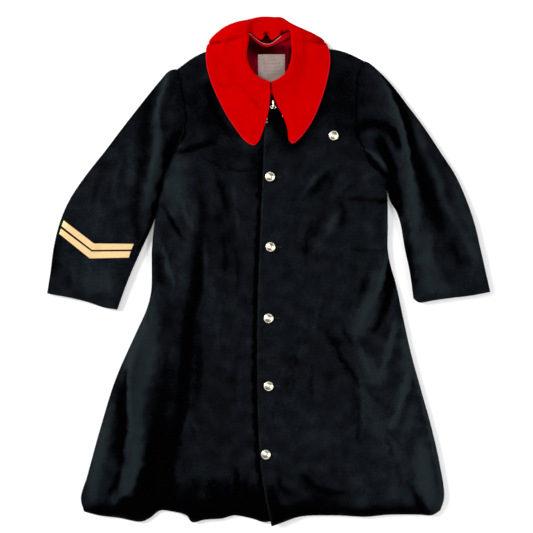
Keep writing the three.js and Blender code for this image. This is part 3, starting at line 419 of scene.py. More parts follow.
# Sections of the collar, from its right front end round the back of the neck to its left one: seam, roll,
# height of the roll, turn over the coat's shoulder or None, cut edge, how far the section bends sideways as
# an arc and as an S, height of a free seam or None
COLLAR_SECTIONS = [
    ((4, 461), (5, 491), 26, None, (-24, 341), 9, 0, None),
    ((-14, 466), (-8, 496), 25, None, (-37, 329), 5, 0, None),
    ((-31, 473), (-23, 503), 24, None, (-58, 338), 2, 0, None),
    ((-54, 493), (-38, 516), 23, None, (-93, 382), 0, 0, None),
    ((-74, 525), (-51, 538), 22.5, None, (-125, 437), 0, 0, None),
    ((-82, 560), (-57, 566), 22.5, None, (-152, 501), 0, 0, None),
    ((-80, 588), (-54, 590), 22.5, None, (-162, 546), 0, 0, None),
    ((-73, 606), (-52, 606), 22, None, (-162, 579), 0, 0, None),
    ((-65, 619), (-52, 619), 21.5, (-153, 598), (-156, 594), 0, 0, 16),
    ((-58, 623), (-52, 634), 21, (-122, 631), (-130, 597), 0, 0, 14),
    ((-50, 624), (-45, 648), 19, (-90, 647), (-98, 577), 0, 0, 13),
    ((-36, 614), (-34, 651), 17.5, (-56, 655), (-62, 564), 0, 0, 13),
    ((-19, 604), (-20, 654), 17, (-24, 662), (-30, 558), 0, 0, 12),
    ((-5, 618), (-3, 655), 17, (-3, 663), (-3, 556), 0, 0, 13.5),
    ((8, 604), (12, 654), 17, (12, 662), (13, 556), 0, 0, 12),
    ((24, 612), (28, 652), 17, (34, 661), (38, 558), 0, 0, 13.5),
    ((42, 625), (44, 646), 18, (56, 647), (62, 566), 0, 0, 13),
    ((54, 629), (53, 634), 20, (88, 632), (96, 578), 0, 0, 14),
    ((63, 622), (58, 621), 21.5, (120, 617), (126, 592), 0, 0, 15),
    ((71, 610), (59, 608), 22, (143, 600), (147, 597), 0, 0, 17),
    ((79, 592), (60, 594), 22.5, None, (155, 583), 0, 0, None),
    ((82, 562), (61, 568), 22.5, None, (160, 549), 0, 0, None),
    ((75, 527), (56, 539), 22.5, None, (148, 482), 0, 0, None),
    ((60, 493), (45, 516), 23.5, None, (118, 400), 0, 0, None),
    ((40, 473), (31, 503), 25.5, None, (84, 350), 0, 0, None),
    ((20, 464), (18, 496), 26.5, None, (62, 333), 1, -3, None),
    ((6, 461), (7, 491), 27, None, (52, 343), 1, -5, None),
]
COLLAR_FOLDS = [
    (9, 2.6, [(-76, 643), (-95, 619), (-116, 593), (-128, 560)]),
    (9, -2.4, [(-148, 517), (-131, 497), (-112, 483), (-83, 489), (-61, 474), (-23, 429), (-13, 410)]),
    (8, 1.8, [(81, 621), (84, 590), (86, 556)]),
    (8, 1.6, [(105, 619), (110, 595)]),
    (8, -1.6, [(25, 472), (56, 466), (86, 462)]),
    (12, 1.4, [(-96, 560), (-104, 510), (-92, 450)]),
    (10, -1.3, [(-60, 420), (-44, 384), (-40, 352)]),
    (12, -1.2, [(110, 540), (112, 490), (98, 440)]),
    (10, 1.2, [(52, 440), (60, 400), (62, 360)]),
]
LINING_ROWS = [(468, 20), (480, 30), (500, 46), (528, 64), (560, 72), (590, 71), (612, 62)]
LABEL_EDGES = (-27, 43, 494, 566)
LABEL_RULES = [(17, 29), (9, 37), (12, 34), (9, 37), (15, 30)]
LOOP_TOP = [
    (-57, 622), (-46, 618), (-33, 607), (-18, 597), (-4, 593), (9, 596), (20, 604), (36, 616), (57, 624),
]
LOOP_BOTTOM = [
    (-57, 612), (-46, 609), (-33, 599), (-18, 589), (-4, 585), (9, 588), (22, 594), (40, 602), (57, 612),
]
LACE_BARS = {
    "lace_bar_upper": ([(-531, 134), (-452, 74), (-349, 73)], [(-537, 119), (-457, 57), (-355, 58)]),
    "lace_bar_lower": ([(-538, 113), (-458, 53), (-357, 54)], [(-543, 99), (-463, 35), (-362, 37)]),
}
BUTTON_LINE = [  # half of a button's section: distance from its middle, height
    (0, 0.35), (3.3, 0.35), (3.3, 2.2), (11.2, 2.2), (12.1, 2.7), (12.5, 3.5), (12.3, 4.2), (11.6, 4.7),
    (10.9, 4.6), (10.4, 4.25), (9.6, 4.6), (8.2, 5.3), (6.6, 6.0), (4.8, 6.7), (3.0, 7.2), (1.4, 7.4),
    (0, 7.45),
]
HOLE_END = [  # beside a button's middle
    (9, 1.5), (20, 1.3), (26, 1.4), (28.6, 0.9), (29.3, 0), (28.6, -0.9), (26, -1.4), (20, -1.3), (9, -1.5),
]
HOOK_SPOT = (12, 434)
HOOK_WIRE = 1.6
HOOK_PATH = [
    (-1.2, -5, 0), (-3, -3.4, 0), (-6, -4, 0), (-7.2, -7.4, 0), (-4.4, -10.4, 0), (-1.6, -8, 1.2),
    (-1.3, 0, 1.2), (-1.3, 8, 0.6), (0, 10.5, 0.6), (1.3, 8, 0.6), (1.3, 0, 1.2), (1.6, -8, 1.2),
    (4.4, -10.4, 0), (7.2, -7.4, 0), (6, -4, 0), (3, -3.4, 0), (1.6, -5, 0),
]
EYE_WIRE = 1.1
HOLE_WIRE = 0.9
EYES = {
    "collar_eye_upper": [(-8, 397.6), (-5, 398), (-3.4, 396.4), (-4.6, 394.6), (-8, 394.8)],
    "collar_eye_lower": [(-6, 390), (-3.4, 390.2), (-1.8, 388.7), (-3, 387), (-6, 387)],
    "collar_catch": [(42, 405.8), (37.5, 406), (35.2, 404.2), (36.6, 402.2), (42, 401.8)],
}


# Lines and forms

def ramp(value, start, end):
    t = np.clip((value - start) / (end - start), 0, 1)
    return t * t * (3 - 2 * t)


def quarter_round(share):
    return np.sqrt(1 - (1 - np.clip(share, 0, 1)) ** 2)


def spline(points, places):
    """Points of a smooth line through the given ones, at places from 0 to 1 counted in stretches."""
    p = np.array(points, float)
    p = np.vstack([2 * p[0] - p[1], p, 2 * p[-1] - p[-2]])
    scaled = np.asarray(places, float) * (len(p) - 3)
    first = np.clip(np.floor(scaled).astype(int), 0, len(p) - 4)
    t = (scaled - first)[:, None]
    a, b, c, d = (p[first + k] for k in range(4))
    before, own, after = (
        np.maximum(np.linalg.norm(v, axis=1) ** 0.5, 1e-4)[:, None] for v in (b - a, c - b, d - c)
    )
    out_of = ((b - a) / before - (c - a) / (before + own) + (c - b) / own) * own
    into = ((c - b) / own - (d - b) / (own + after) + (d - c) / after) * own
    return (
        (2 * t**3 - 3 * t**2 + 1) * b + (t**3 - 2 * t**2 + t) * out_of
        + (3 * t**2 - 2 * t**3) * c + (t**3 - t**2) * into
    )


def smooth(points, steps=6):
    return spline(points, np.linspace(0, 1, (len(points) - 1) * steps + 1))


def along(points, fractions):
    """Points at fractions of a smooth line's length."""
    line = smooth(points, 30)
    length = np.concatenate([[0], np.cumsum(np.linalg.norm(np.diff(line, axis=0), axis=1))])
    at = np.asarray(fractions, float) * length[-1]
    return np.stack([np.interp(at, length, line[:, k]) for k in range(line.shape[1])], axis=1)


def nearest(line, spots):
    """Each spot's distance from a broken line, how far along that is, and whether it is on its right."""
    best = np.full(len(spots), np.inf)
    share = np.zeros(len(spots))
    right = np.zeros(len(spots), bool)
    for i, (a, b) in enumerate(zip(line[:-1], line[1:])):
        step, rel = b - a, spots - a
        t = np.clip(rel @ step / (step @ step), 0, 1)
        distance = np.hypot(rel[:, 0] - t * step[0], rel[:, 1] - t * step[1])
        closer = distance < best
        best = np.where(closer, distance, best)
        share = np.where(closer, (i + t) / (len(line) - 1), share)
        right = np.where(closer, step[0] * rel[:, 1] - step[1] * rel[:, 0] < 0, right)
    return best, share, right


def away(lines, spots):
    return np.min([nearest(line, spots)[0] for line in lines], axis=0)


def smooth_near(path, spots, reach):
    """A path as a smooth line, and which spots lie within reach of it or close to that."""
    line = smooth(path, 5)
    return line, np.all((spots > line.min(0) - reach) & (spots < line.max(0) + reach), axis=1)


def relief(spots, folds):
    """Height of the folds at each spot."""
    total = np.zeros(len(spots))
    for fold in folds:
        width, height, path, tail, steep = fold + (0.0, 1.0)[len(fold) - 3:]
        line, near = smooth_near(path, spots, 3 * width * max(steep, 1))
        if near.any():
            distance, share, right = nearest(line, spots[near])
            fade = tail + (1 - tail) * np.sin(np.pi * share) ** 0.8
            total[near] += height * fade * np.exp(-((distance / np.where(right, width * steep, width)) ** 2))
    return total


def waver(spots, size, seed):
    """Gentle unevenness, about -1 to 1, in waves about as long as size."""
    draw = np.random.default_rng(seed)
    total = np.zeros(len(spots))
    for _ in range(7):
        angle, stretch, phase, other = draw.uniform(0, 1, 4) * (math.pi, 0.8, math.tau, math.tau)
        length = size * (0.7 + stretch)
        onward = spots @ (math.cos(angle), math.sin(angle))
        across = spots @ (-math.sin(angle), math.cos(angle))
        bend = 1.3 * np.sin(math.tau * across / (2.3 * length) + other)
        total += np.sin(math.tau * onward / length + phase + bend)
    return total / 7**0.5


def nap_and_shading_of(points, strokes, folds=(), seed=31, lift=0.0):
    """Tone at a net's points, from dark at 0 to light at 1: a random drift, painted light and shade from
    strokes, and painted shading from the folds.
    """
    spots = points[..., :2].reshape(-1, 2)
    bent = spots + np.stack([waver(spots, 34, seed), waver(spots, 41, seed + 1)], axis=1) * 2.2
    tone = lift + 0.16 * waver(spots, 62, seed + 2) + 0.07 * waver(spots, 21, seed + 3)
    for width, strength, path in strokes:
        line, near = smooth_near(path, spots, 3 * width)
        if near.any():
            distance, share, _ = nearest(line, bent[near])
            fade = 0.35 + 0.65 * np.sin(np.pi * share)
            tone[near] += strength * fade * np.exp(-((distance / width) ** 2))
    if folds:
        # Painted light on slopes that face the left and on crests, painted shade on the far slopes and in
        # troughs.
        step = 1.5
        slope = relief(spots + (step, 0), folds) - relief(spots - (step, 0), folds)
        tone += 0.35 * slope / step + 0.05 * relief(spots, folds)
    return (0.5 + 0.5 * np.tanh(tone)).reshape(points.shape[:2])


SIDES, SHOULDERS, HEMS = (
    [smooth(half[edge]) for half in (RIGHT, LEFT)] for edge in ("side", "shoulder", "hem"))


def back_rise(spots):
    return COLLAR_LIFT * ramp(spots[:, 1], 500, 546) * ramp(-np.abs(spots[:, 0]), -205, -156)


def body_edges(spots):
    """Share of the body's height at each spot, 0 at its rim: at sides and shoulders, and at hems."""
    return (
        quarter_round(away(SIDES, spots) / SIDE_ROLL) * quarter_round(away(SHOULDERS, spots) / SHOULDER_ROLL),
        quarter_round(away(HEMS, spots) / HEM_ROLL),
    )


def front_underside(spots):
    edge, hem = body_edges(spots)
    folds = relief(spots, FOLDS) * edge * (0.5 + 0.5 * hem)
    uneven = (0.7 * waver(spots, 150, 3) + 0.35 * waver(spots, 46, 8)) * edge * hem
    form = CLOTH + LAYER_GAP + BODY_LOFT * edge * hem + folds + uneven
    return np.maximum(form, CLOTH + back_rise(spots) + LAYER_GAP)


def spread(t):
    """Fractions that lie closer at both ends."""
    return t - 0.55 * np.sin(math.tau * t) / math.tau


def net(inner, outer, top, bottom, across, down, fade=3):
    """A net of places between two sides, bent to meet a line at its top and one at its bottom."""
    u, v = across[None, :, None], down[:, None, None]
    plan = inner[:, None] * (1 - u) + outer[:, None] * u
    at_top = top[None] - (inner[0] * (1 - u) + outer[0] * u)
    at_bottom = bottom[None] - (inner[-1] * (1 - u) + outer[-1] * u)
    return plan + (1 - v) ** fade * at_top + v**3 * at_bottom


def body_rows(upper, lower, places):
    """Points down an upper and then a lower line, at places counted in steps of the body's rows."""
    upper_places = places[places <= ARMHOLE_STEPS] / ARMHOLE_STEPS
    t = (places[places > ARMHOLE_STEPS] - ARMHOLE_STEPS) / SIDE_STEPS
    return np.vstack([along(upper, upper_places), along(lower, t * (1.3 - 0.3 * t))])


def raised(plan, height):
    """A net with heights from a function of its places."""
    return np.dstack([plan, height(plan.reshape(-1, 2)).reshape(plan.shape[:2])])


def facing(points):
    """Unit normals of a net, upwards."""
    normal = np.cross(np.gradient(points, axis=1), np.gradient(points, axis=0))
    normal /= np.maximum(np.linalg.norm(normal, axis=2, keepdims=True), 1e-9)
    return np.where(normal[..., 2:] < 0, -normal, normal)


def outside_of(underside):
    """The cloth's upper face over an underside, thicker upwards where it slopes."""
    grown = underside.copy()
    grown[..., 2] += CLOTH * np.minimum(1 / np.maximum(facing(underside)[..., 2], 0.1), 1.6)
    return grown


def turned_under(points, side, weight, floor=0.0):
    """Adds two lines beyond a side of a net, where the cloth rolls under. weight is 0 where it only dips."""
    ways = {"right": points, "left": points[:, ::-1], "top": points[::-1].swapaxes(0, 1)}
    inner = ways[side][:, :-1]
    edge = ways[side][:, -1]
    outwards = edge[:, :2] - inner[:, -4, :2]
    outwards /= np.linalg.norm(outwards, axis=1, keepdims=True)
    rows = []
    for count, (inwards, drop, height) in enumerate(ROLL_UNDER, 1):
        row = edge.copy()
        row[:, :2] -= outwards * (inwards * weight - 0.05 * count * (1 - weight))[:, None]
        row[:, 2] = (edge[:, 2] - drop) * (1 - weight) + (floor + height) * weight
        rows.append(row)
    made = np.concatenate([inner, np.stack(rows, axis=1)], axis=1)
    return {"right": made, "left": made[:, ::-1], "top": made.swapaxes(0, 1)[::-1]}[side]


# Meshes

def placed(name, data):
    """A new object in the scene."""
    made = bpy.data.objects.new(name, data)
    bpy.context.scene.collection.objects.link(made)
    return made


def new_object(name, bm, material):
    mesh = bpy.data.meshes.new(name)
    bm.to_mesh(mesh)
    bm.free()
    mesh.shade_smooth()
    mesh.materials.append(material)
    return placed(name, mesh)


def cloth_piece(name, points, material, wall=WALL, middle=False, rounding=0.9, layers=None):
    """A sheet of cloth through a net of points in millimetres, with a wall and rounded cut edges."""
    rows, columns = points.shape[:2]
    bm = bmesh.new()
    bmesh.ops.create_grid(bm, x_segments=columns - 1, y_segments=rows - 1, size=1)
    spots = (points + SHIFT) * MM
    layers = {"wear_and_sheen": np.zeros((rows, columns)), "nap_and_shading": np.full((rows, columns), 0.5), **(layers or {})}
    written = {key: bm.verts.layers.float.new(key) for key in layers}
    for v in bm.verts:
        j = round((v.co.x + 1) / 2 * (columns - 1))
        i = round((1 - v.co.y) / 2 * (rows - 1))
        v.co = spots[i, j]
        for key, layer in written.items():
            v[layer] = layers[key][i, j]
    bm.normal_update()
    if sum(f.normal.z * f.calc_area() for f in bm.faces) < 0:
        bmesh.ops.reverse_faces(bm, faces=bm.faces)
    made = new_object(name, bm, material)
    shell = made.modifiers.new("wall", "SOLIDIFY")
    shell.thickness = wall * MM
    shell.offset = 0 if middle else -1
    edge = made.modifiers.new("cut edge", "BEVEL")
    edge.width = rounding * MM
    edge.segments = 2
    edge.limit_method = "ANGLE"
    edge.angle_limit = math.radians(62)
    return made


def surface_tree(*nets):
    """A tree of the upper faces of nets, in millimetres, for finding heights."""
    points, faces = [], []
    for grid in nets:
        rows, columns = grid.shape[:2]
        corner = len(points) + np.arange(rows * columns).reshape(rows, columns)
        points.extend(map(tuple, grid.reshape(-1, 3)))
        quads = np.stack([corner[:-1, :-1], corner[1:, :-1], corner[1:, 1:], corner[:-1, 1:]], axis=-1)
        faces.extend(map(tuple, quads.reshape(-1, 4).tolist()))
    return BVHTree.FromPolygons(points, faces)


def height_on(tree, x, y):
    """Height of a tree's surface over a place, or None."""
    hit = tree.ray_cast(Vector((x, y, 500)), Vector((0, 0, -1)))[0]
    return hit.z if hit else None


def highest(tree, spots, reach=0.0, other=None):
    """Highest place within reach of each spot of a list or a net."""
    steps = [(0, 0), (reach, 0), (-reach, 0), (0, reach), (0, -reach)] if reach else [(0, 0)]
    found = []
    for x, y in spots.reshape(-1, 2):
        heights = [h for h in (height_on(tree, x + dx, y + dy) for dx, dy in steps) if h is not None]
        found.append(max(heights) if heights else other)
    return np.array(found, float).reshape(spots.shape[:-1])


def between(first, second, columns):
    """A net from one line to another."""
    across = np.linspace(0, 1, columns)[None, :, None]
    return first[:, None] * (1 - across) + second[:, None] * across


def stand_for(piece, nodes):
    """Lets a piece stand for CAD nodes."""
    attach(piece, "root")
    if nodes:
        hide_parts(*nodes)


def sew(name, cad, points, material, slot, cut, on=(), area=None, **form):
    """A cloth piece for a CAD node. cut, the size in metres that it was cut to, and on, what it lies on, are
    not used.
    """
    piece = cloth_piece(name, points, material, **form)
    stand_for(piece, [cad])


# Finishes

class Finish:
    """A material under way. Its patterns follow a piece's object coordinates."""

    def __init__(self, name, **sockets):
        self.material = bpy.data.materials.new(name)
        self.material.use_nodes = True
        self.tree = self.material.node_tree
        self.shader = self.tree.nodes["Principled BSDF"]
        for key, value in sockets.items():
            self.shader.inputs[key.replace("_", " ")].default_value = value
        self.place = self.node("TexCoord").outputs["Object"]

    def node(self, kind, sockets=None, **settings):
        made = self.tree.nodes.new("ShaderNode" + kind)
        for key, value in settings.items():
            setattr(made, key, value)
        for key, value in (sockets or {}).items():
            if isinstance(value, bpy.types.NodeSocket):
                self.tree.links.new(value, made.inputs[key])
            else:
                made.inputs[key].default_value = value
        return made

    def noise(self, scale, detail=3.0, stretch=None):
        place = self.place
        if stretch:
            place = self.node("Mapping", {"Vector": place, "Scale": stretch}).outputs["Vector"]
        return self.node("TexNoise", {"Vector": place, "Scale": scale, "Detail": detail}).outputs["Fac"]

    def wave(self, scale, distortion, **settings):
        sockets = {"Vector": self.place, "Scale": scale, "Distortion": distortion}
        return self.node("TexWave", sockets, **settings).outputs["Fac"]

    def layer(self, name):
        return self.node("Attribute", attribute_name=name, attribute_type="GEOMETRY").outputs["Fac"]

    def product(self, a, b):
        return self.node("Math", {0: a, 1: b}, operation="MULTIPLY").outputs[0]

    def sum_of(self, *shares, plus=0.0):
        """Values times their shares, added up."""
        total = plus
        for value, share in shares:
            total = self.node("Math", {0: value, 1: share, 2: total}, operation="MULTIPLY_ADD").outputs[0]
        return total

    def remap(self, value, low, high, start=0.0, end=1.0):
        sockets = {"Value": value, "From Min": low, "From Max": high, "To Min": start, "To Max": end}
        return self.node("MapRange", sockets).outputs["Result"]

    def blend(self, share, *colours):
        first, second = (c if isinstance(c, bpy.types.NodeSocket) else (*c, 1) for c in colours)
        return self.node("Mix", {0: share, 6: first, 7: second}, data_type="RGBA").outputs[2]

    def paint(self, colour, height=None, strength=0.0, distance=0.0):
        """Gives the surface its colour, and its fine relief where it has one."""
        self.tree.links.new(colour, self.shader.inputs["Base Color"])
        if height is not None:
            bump = self.node("Bump", {"Height": height, "Strength": strength, "Distance": distance})
            self.tree.links.new(bump.outputs["Normal"], self.shader.inputs["Normal"])
        return self.material

    def polish(self, roughness):
        self.tree.links.new(roughness, self.shader.inputs["Roughness"])


def wool(name, shaded, plain, lit, worn, lint=0.5, grain=0.9):
    """Milled woollen cloth: a short felted pile whose tone carries painted shade in the folds and painted
    light and sheen on slopes and ridges, a little lint, and paler cut edges that are worn, with a painted
    sheen on some pieces.
    """
    cloth = Finish(name, Roughness=0.9, Specular_IOR_Level=0.0)
    fibres = cloth.noise(1500, 4, (1, 0.45, 1))
    felt = cloth.noise(320, 4)
    rumpled = cloth.noise(11, 3, (1.5, 0.8, 1))
    nap_and_shading = cloth.sum_of((cloth.layer("nap_and_shading"), 1.0), (rumpled, 0.12), (felt, grain), plus=-0.1 - grain / 2)
    # Painted shade where the tone is low, painted light and sheen where it is high.
    colour = cloth.blend(cloth.remap(nap_and_shading, 0.06, 0.5), shaded, plain)
    colour = cloth.blend(cloth.remap(nap_and_shading, 0.5, 1.0), colour, lit)
    colour = cloth.blend(cloth.remap(cloth.noise(260, 1), 0.77, 0.84, 0, lint), colour, worn)
    # Rims in the worn colour: real wear on the black cloth, wear with a painted sheen on the collar, and a
    # painted highlight along the hanger loop's top edge.
    rubbed = cloth.product(cloth.layer("wear_and_sheen"), cloth.remap(felt, 0.3, 0.7, 0.35, 1.0))
    colour = cloth.blend(cloth.product(rubbed, 0.24), colour, worn)
    return cloth.paint(colour, cloth.sum_of((fibres, 0.3), (felt, 0.3), (rumpled, 6.0)), 0.5, 0.0008)


def label_finish():
    label = Finish("woven_label", Roughness=0.55, Sheen_Weight=0.15, Specular_IOR_Level=0.4)
    weft = label.noise(600, 2, (0.15, 1, 1))
    threads = label.wave(900.0, 0.4, wave_type="BANDS", bands_direction="Y")
    colour = label.blend(label.sum_of((weft, 0.6), (threads, 0.3)), (0.16, 0.108, 0.096), (0.28, 0.208, 0.19))
    faded = label.remap(label.noise(500, 2), 0.35, 0.6, 0.25, 0.75)
    colour = label.blend(label.product(label.layer("ruled"), faded), colour, (0.045, 0.03, 0.035))
    return label.paint(colour, threads, 0.4, 0.0003)


def brass():
    metal = Finish("gilt_brass", Metallic=1.0, Roughness=0.3)
    rubbed = metal.noise(420)
    metal.polish(metal.remap(rubbed, 0.3, 0.7, 0.24, 0.4))
    colour = metal.blend(metal.remap(rubbed, 0.36, 0.56), (0.56, 0.45, 0.25), (0.82, 0.79, 0.67))
    return metal.paint(colour, metal.noise(1400, 2), 0.15, 0.0002)


def steel():
    metal = Finish("tinned_wire", Metallic=1.0)
    spots = metal.noise(900, 2)
    metal.polish(metal.remap(spots, 0.3, 0.7, 0.25, 0.45))
    return metal.paint(metal.blend(spots, (0.62, 0.62, 0.60), (0.86, 0.86, 0.84)))


def gold_lace():
    lace = Finish("gold_lace", Roughness=0.5, Metallic=0.25, Specular_IOR_Level=0.5)
    weft = lace.noise(900.0, 2.0)
    mixed = lace.sum_of((lace.layer("rib"), 0.55), (weft, 0.5))
    colour = lace.blend(mixed, (0.58, 0.38, 0.17), (0.79, 0.59, 0.29))
    colour = lace.blend(lace.layer("selvedge"), colour, (0.42, 0.24, 0.11))
    return lace.paint(colour, weft, 0.5, 0.0004)


def dull_thread():
    thread = Finish("buttonhole_thread", Roughness=0.7, Specular_IOR_Level=0.3)
    twist = thread.wave(700.0, 1.0)
    colour = thread.blend(twist, (0.004, 0.0045, 0.006), (0.010, 0.012, 0.014))
    return thread.paint(colour, twist, 0.5, 0.0003)


def paper():
    sheet = Finish("pale_floor", Roughness=0.9, Specular_IOR_Level=0.1)
    return sheet.paint(sheet.blend(sheet.noise(3, 2), (0.90, 0.90, 0.90), (0.93, 0.93, 0.93)))


# Wool colours, in order: in painted shade, plain, in painted light and sheen, and worn.
BLACK_WOOL = wool(
    "black_wool", (0.0004, 0.0004, 0.0006), (0.0041, 0.0050, 0.0068), (0.0118, 0.0170, 0.0192),
    (0.030, 0.036, 0.040))
# The scarlet's worn colour is also the painted sheen of the collar's rim.
SCARLET = wool(
    "scarlet_cloth", (0.06, 0.0, 0.0), (0.39, 0.0, 0.0), (0.45, 0.0, 0.0), (0.60, 0.05, 0.09), 0.06, 0.25)
LINING_RED = wool(
    "red_lining", (0.012, 0.0, 0.0), (0.11, 0.0, 0.006), (0.24, 0.0, 0.003), (0.2, 0.01, 0.02), 0.06, 0.3)
# The tape's pale worn colour is the painted highlight along the loop's top edge.
LOOP_TAPE = wool(
    "loop_tape", (0.03, 0.0, 0.0), (0.30, 0.0, 0.004), (0.42, 0.0, 0.006), (1.0, 0.80, 0.76), 0.06, 0.3)
BACKING_RED = wool(
    "chevron_cloth", (0.004, 0.0, 0.0), (0.016, 0.001, 0.001), (0.03, 0.002, 0.002), (0.06, 0.01, 0.01))
LACE, BRASS, TINNED, THREAD = gold_lace(), brass(), steel(), dull_thread()


# Fronts

ROWS_DOWN = np.concatenate([
    np.linspace(0, ARMHOLE_STEPS, 84), np.linspace(ARMHOLE_STEPS, BODY_STEPS, 222)[1:]])
ACROSS = spread(np.linspace(0, 1, 122))


def front_net(half):
    return net(
        body_rows(half["neck"], half["front_edge"], ROWS_DOWN),
        body_rows(half["armhole"], half["side"], ROWS_DOWN),
        along(half["shoulder"], ACROSS), along(half["hem"], ACROSS), ACROSS, ROWS_DOWN / BODY_STEPS)


def wear_of(points, *rims, reach=4.0):
    """1 at a net's worn rims, fading inwards."""
    flat = points[..., :2]
    lines = {"bottom": flat[-1], "left": flat[:, 0]}
    worn = [nearest(lines[rim][::3], flat.reshape(-1, 2))[0].reshape(flat.shape[:2]) for rim in rims]
    return np.exp(-((np.min(worn, axis=0) / reach) ** 2))


def side_turn(rows):
    """How far each row's side edge rolls under: not at the armhole, fully below it."""
    return ramp(rows, ARMHOLE_STEPS, ARMHOLE_STEPS + 1.2)


right_top = outside_of(raised(front_net(RIGHT), front_underside))
left_under = raised(front_net(LEFT), front_underside)
over_right = ramp(-left_under[..., 0], -OVERLAP[1], -OVERLAP[0])
left_under[..., 2] += over_right * (outside_of(left_under)[..., 2] - left_under[..., 2] + LAYER_GAP)
FRONTS = {"front_right": right_top, "front_left": outside_of(left_under)}
FRONT_CUTS = {
    "front_right": ((0.54, 1.29), 0.455, ["back"]),
    "front_left": ((0.51, 1.30), 0.445, ["front_right_cloth", "back"]),
}
for name, top in FRONTS.items():
    turned = turned_under(top, "right", side_turn(ROWS_DOWN), back_rise(top[:, -1, :2]))
    shoulder_floor = np.concatenate([back_rise(top[0, :, :2]), back_rise(top[0, -3:-1, :2])])
    turned = turned_under(turned, "top", ramp(np.abs(turned[0, :, 0]), *NECK_TURN), shoulder_floor)
    cut, area, on = FRONT_CUTS[name]
    # Each front's tone carries painted light and shade from the strokes and the folds.
    sew(name + "_cloth", name, turned, BLACK_WOOL, "wool", cut, on, area,
        layers={"wear_and_sheen": wear_of(turned, "bottom", "left"), "nap_and_shading": nap_and_shading_of(turned, PAINTED_SHADING, FOLDS)})
COAT_TOP = surface_tree(*FRONTS.values())


# Back: flat on the floor, a little narrower than the fronts that roll round it

def back_height(spots):
    inner = ramp(away(SIDES, spots), 8, 40) * ramp(away(HEMS, spots), 0, 60)
    return back_rise(spots) + np.maximum(relief(spots, BACK_FOLDS), 0) * inner + UNDER_TOP


def pulled_in(plan, side, weight):
    """Draws one side of a net inwards, less and less towards its middle."""
    flipped = plan if side == "right" else plan[:, ::-1]
    inwards = flipped[:, -6] - flipped[:, -1]
    inwards /= np.linalg.norm(inwards, axis=1, keepdims=True)
    share = np.linspace(0, 1, flipped.shape[1]) ** 8
    moved = flipped + inwards[:, None] * share[None, :, None] * (TUCK * weight)[:, None, None]
    return moved if side == "right" else moved[:, ::-1]


rows = ROWS_DOWN[::2]
across = np.linspace(0, 1, 120)
top_line = along(BACK_TOP, across)
from_middle = np.abs(top_line[:, 0])
top_line[:, 1] -= TUCK * ramp(from_middle, *NECK_TURN) * ramp(-from_middle, -238, -225)
back_plan = net(
    body_rows(RIGHT["armhole"], RIGHT["side"], rows), body_rows(LEFT["armhole"], LEFT["side"], rows),
    top_line, along(BACK_HEM, across), across, rows / BODY_STEPS)
for side in ("left", "right"):
    back_plan = pulled_in(back_plan, side, side_turn(rows))
back_top = raised(back_plan, back_height)
sew("back_cloth", "back", back_top, BLACK_WOOL, "wool", (0.95, 1.28), (), 0.81, wall=UNDER_WALL,
    layers={"wear_and_sheen": wear_of(back_top, "bottom")})
BACK_TREE = surface_tree(back_top)


# Sleeves

def seam_line(armhole, outwards, places):
    """The armhole's line moved out by the seam's gap."""
    line = along(armhole, places)
    step = np.gradient(line, axis=0)
    step /= np.linalg.norm(step, axis=1, keepdims=True)
    return line + np.stack([-step[:, 1], step[:, 0]], axis=1) * SEAM_GAP * outwards


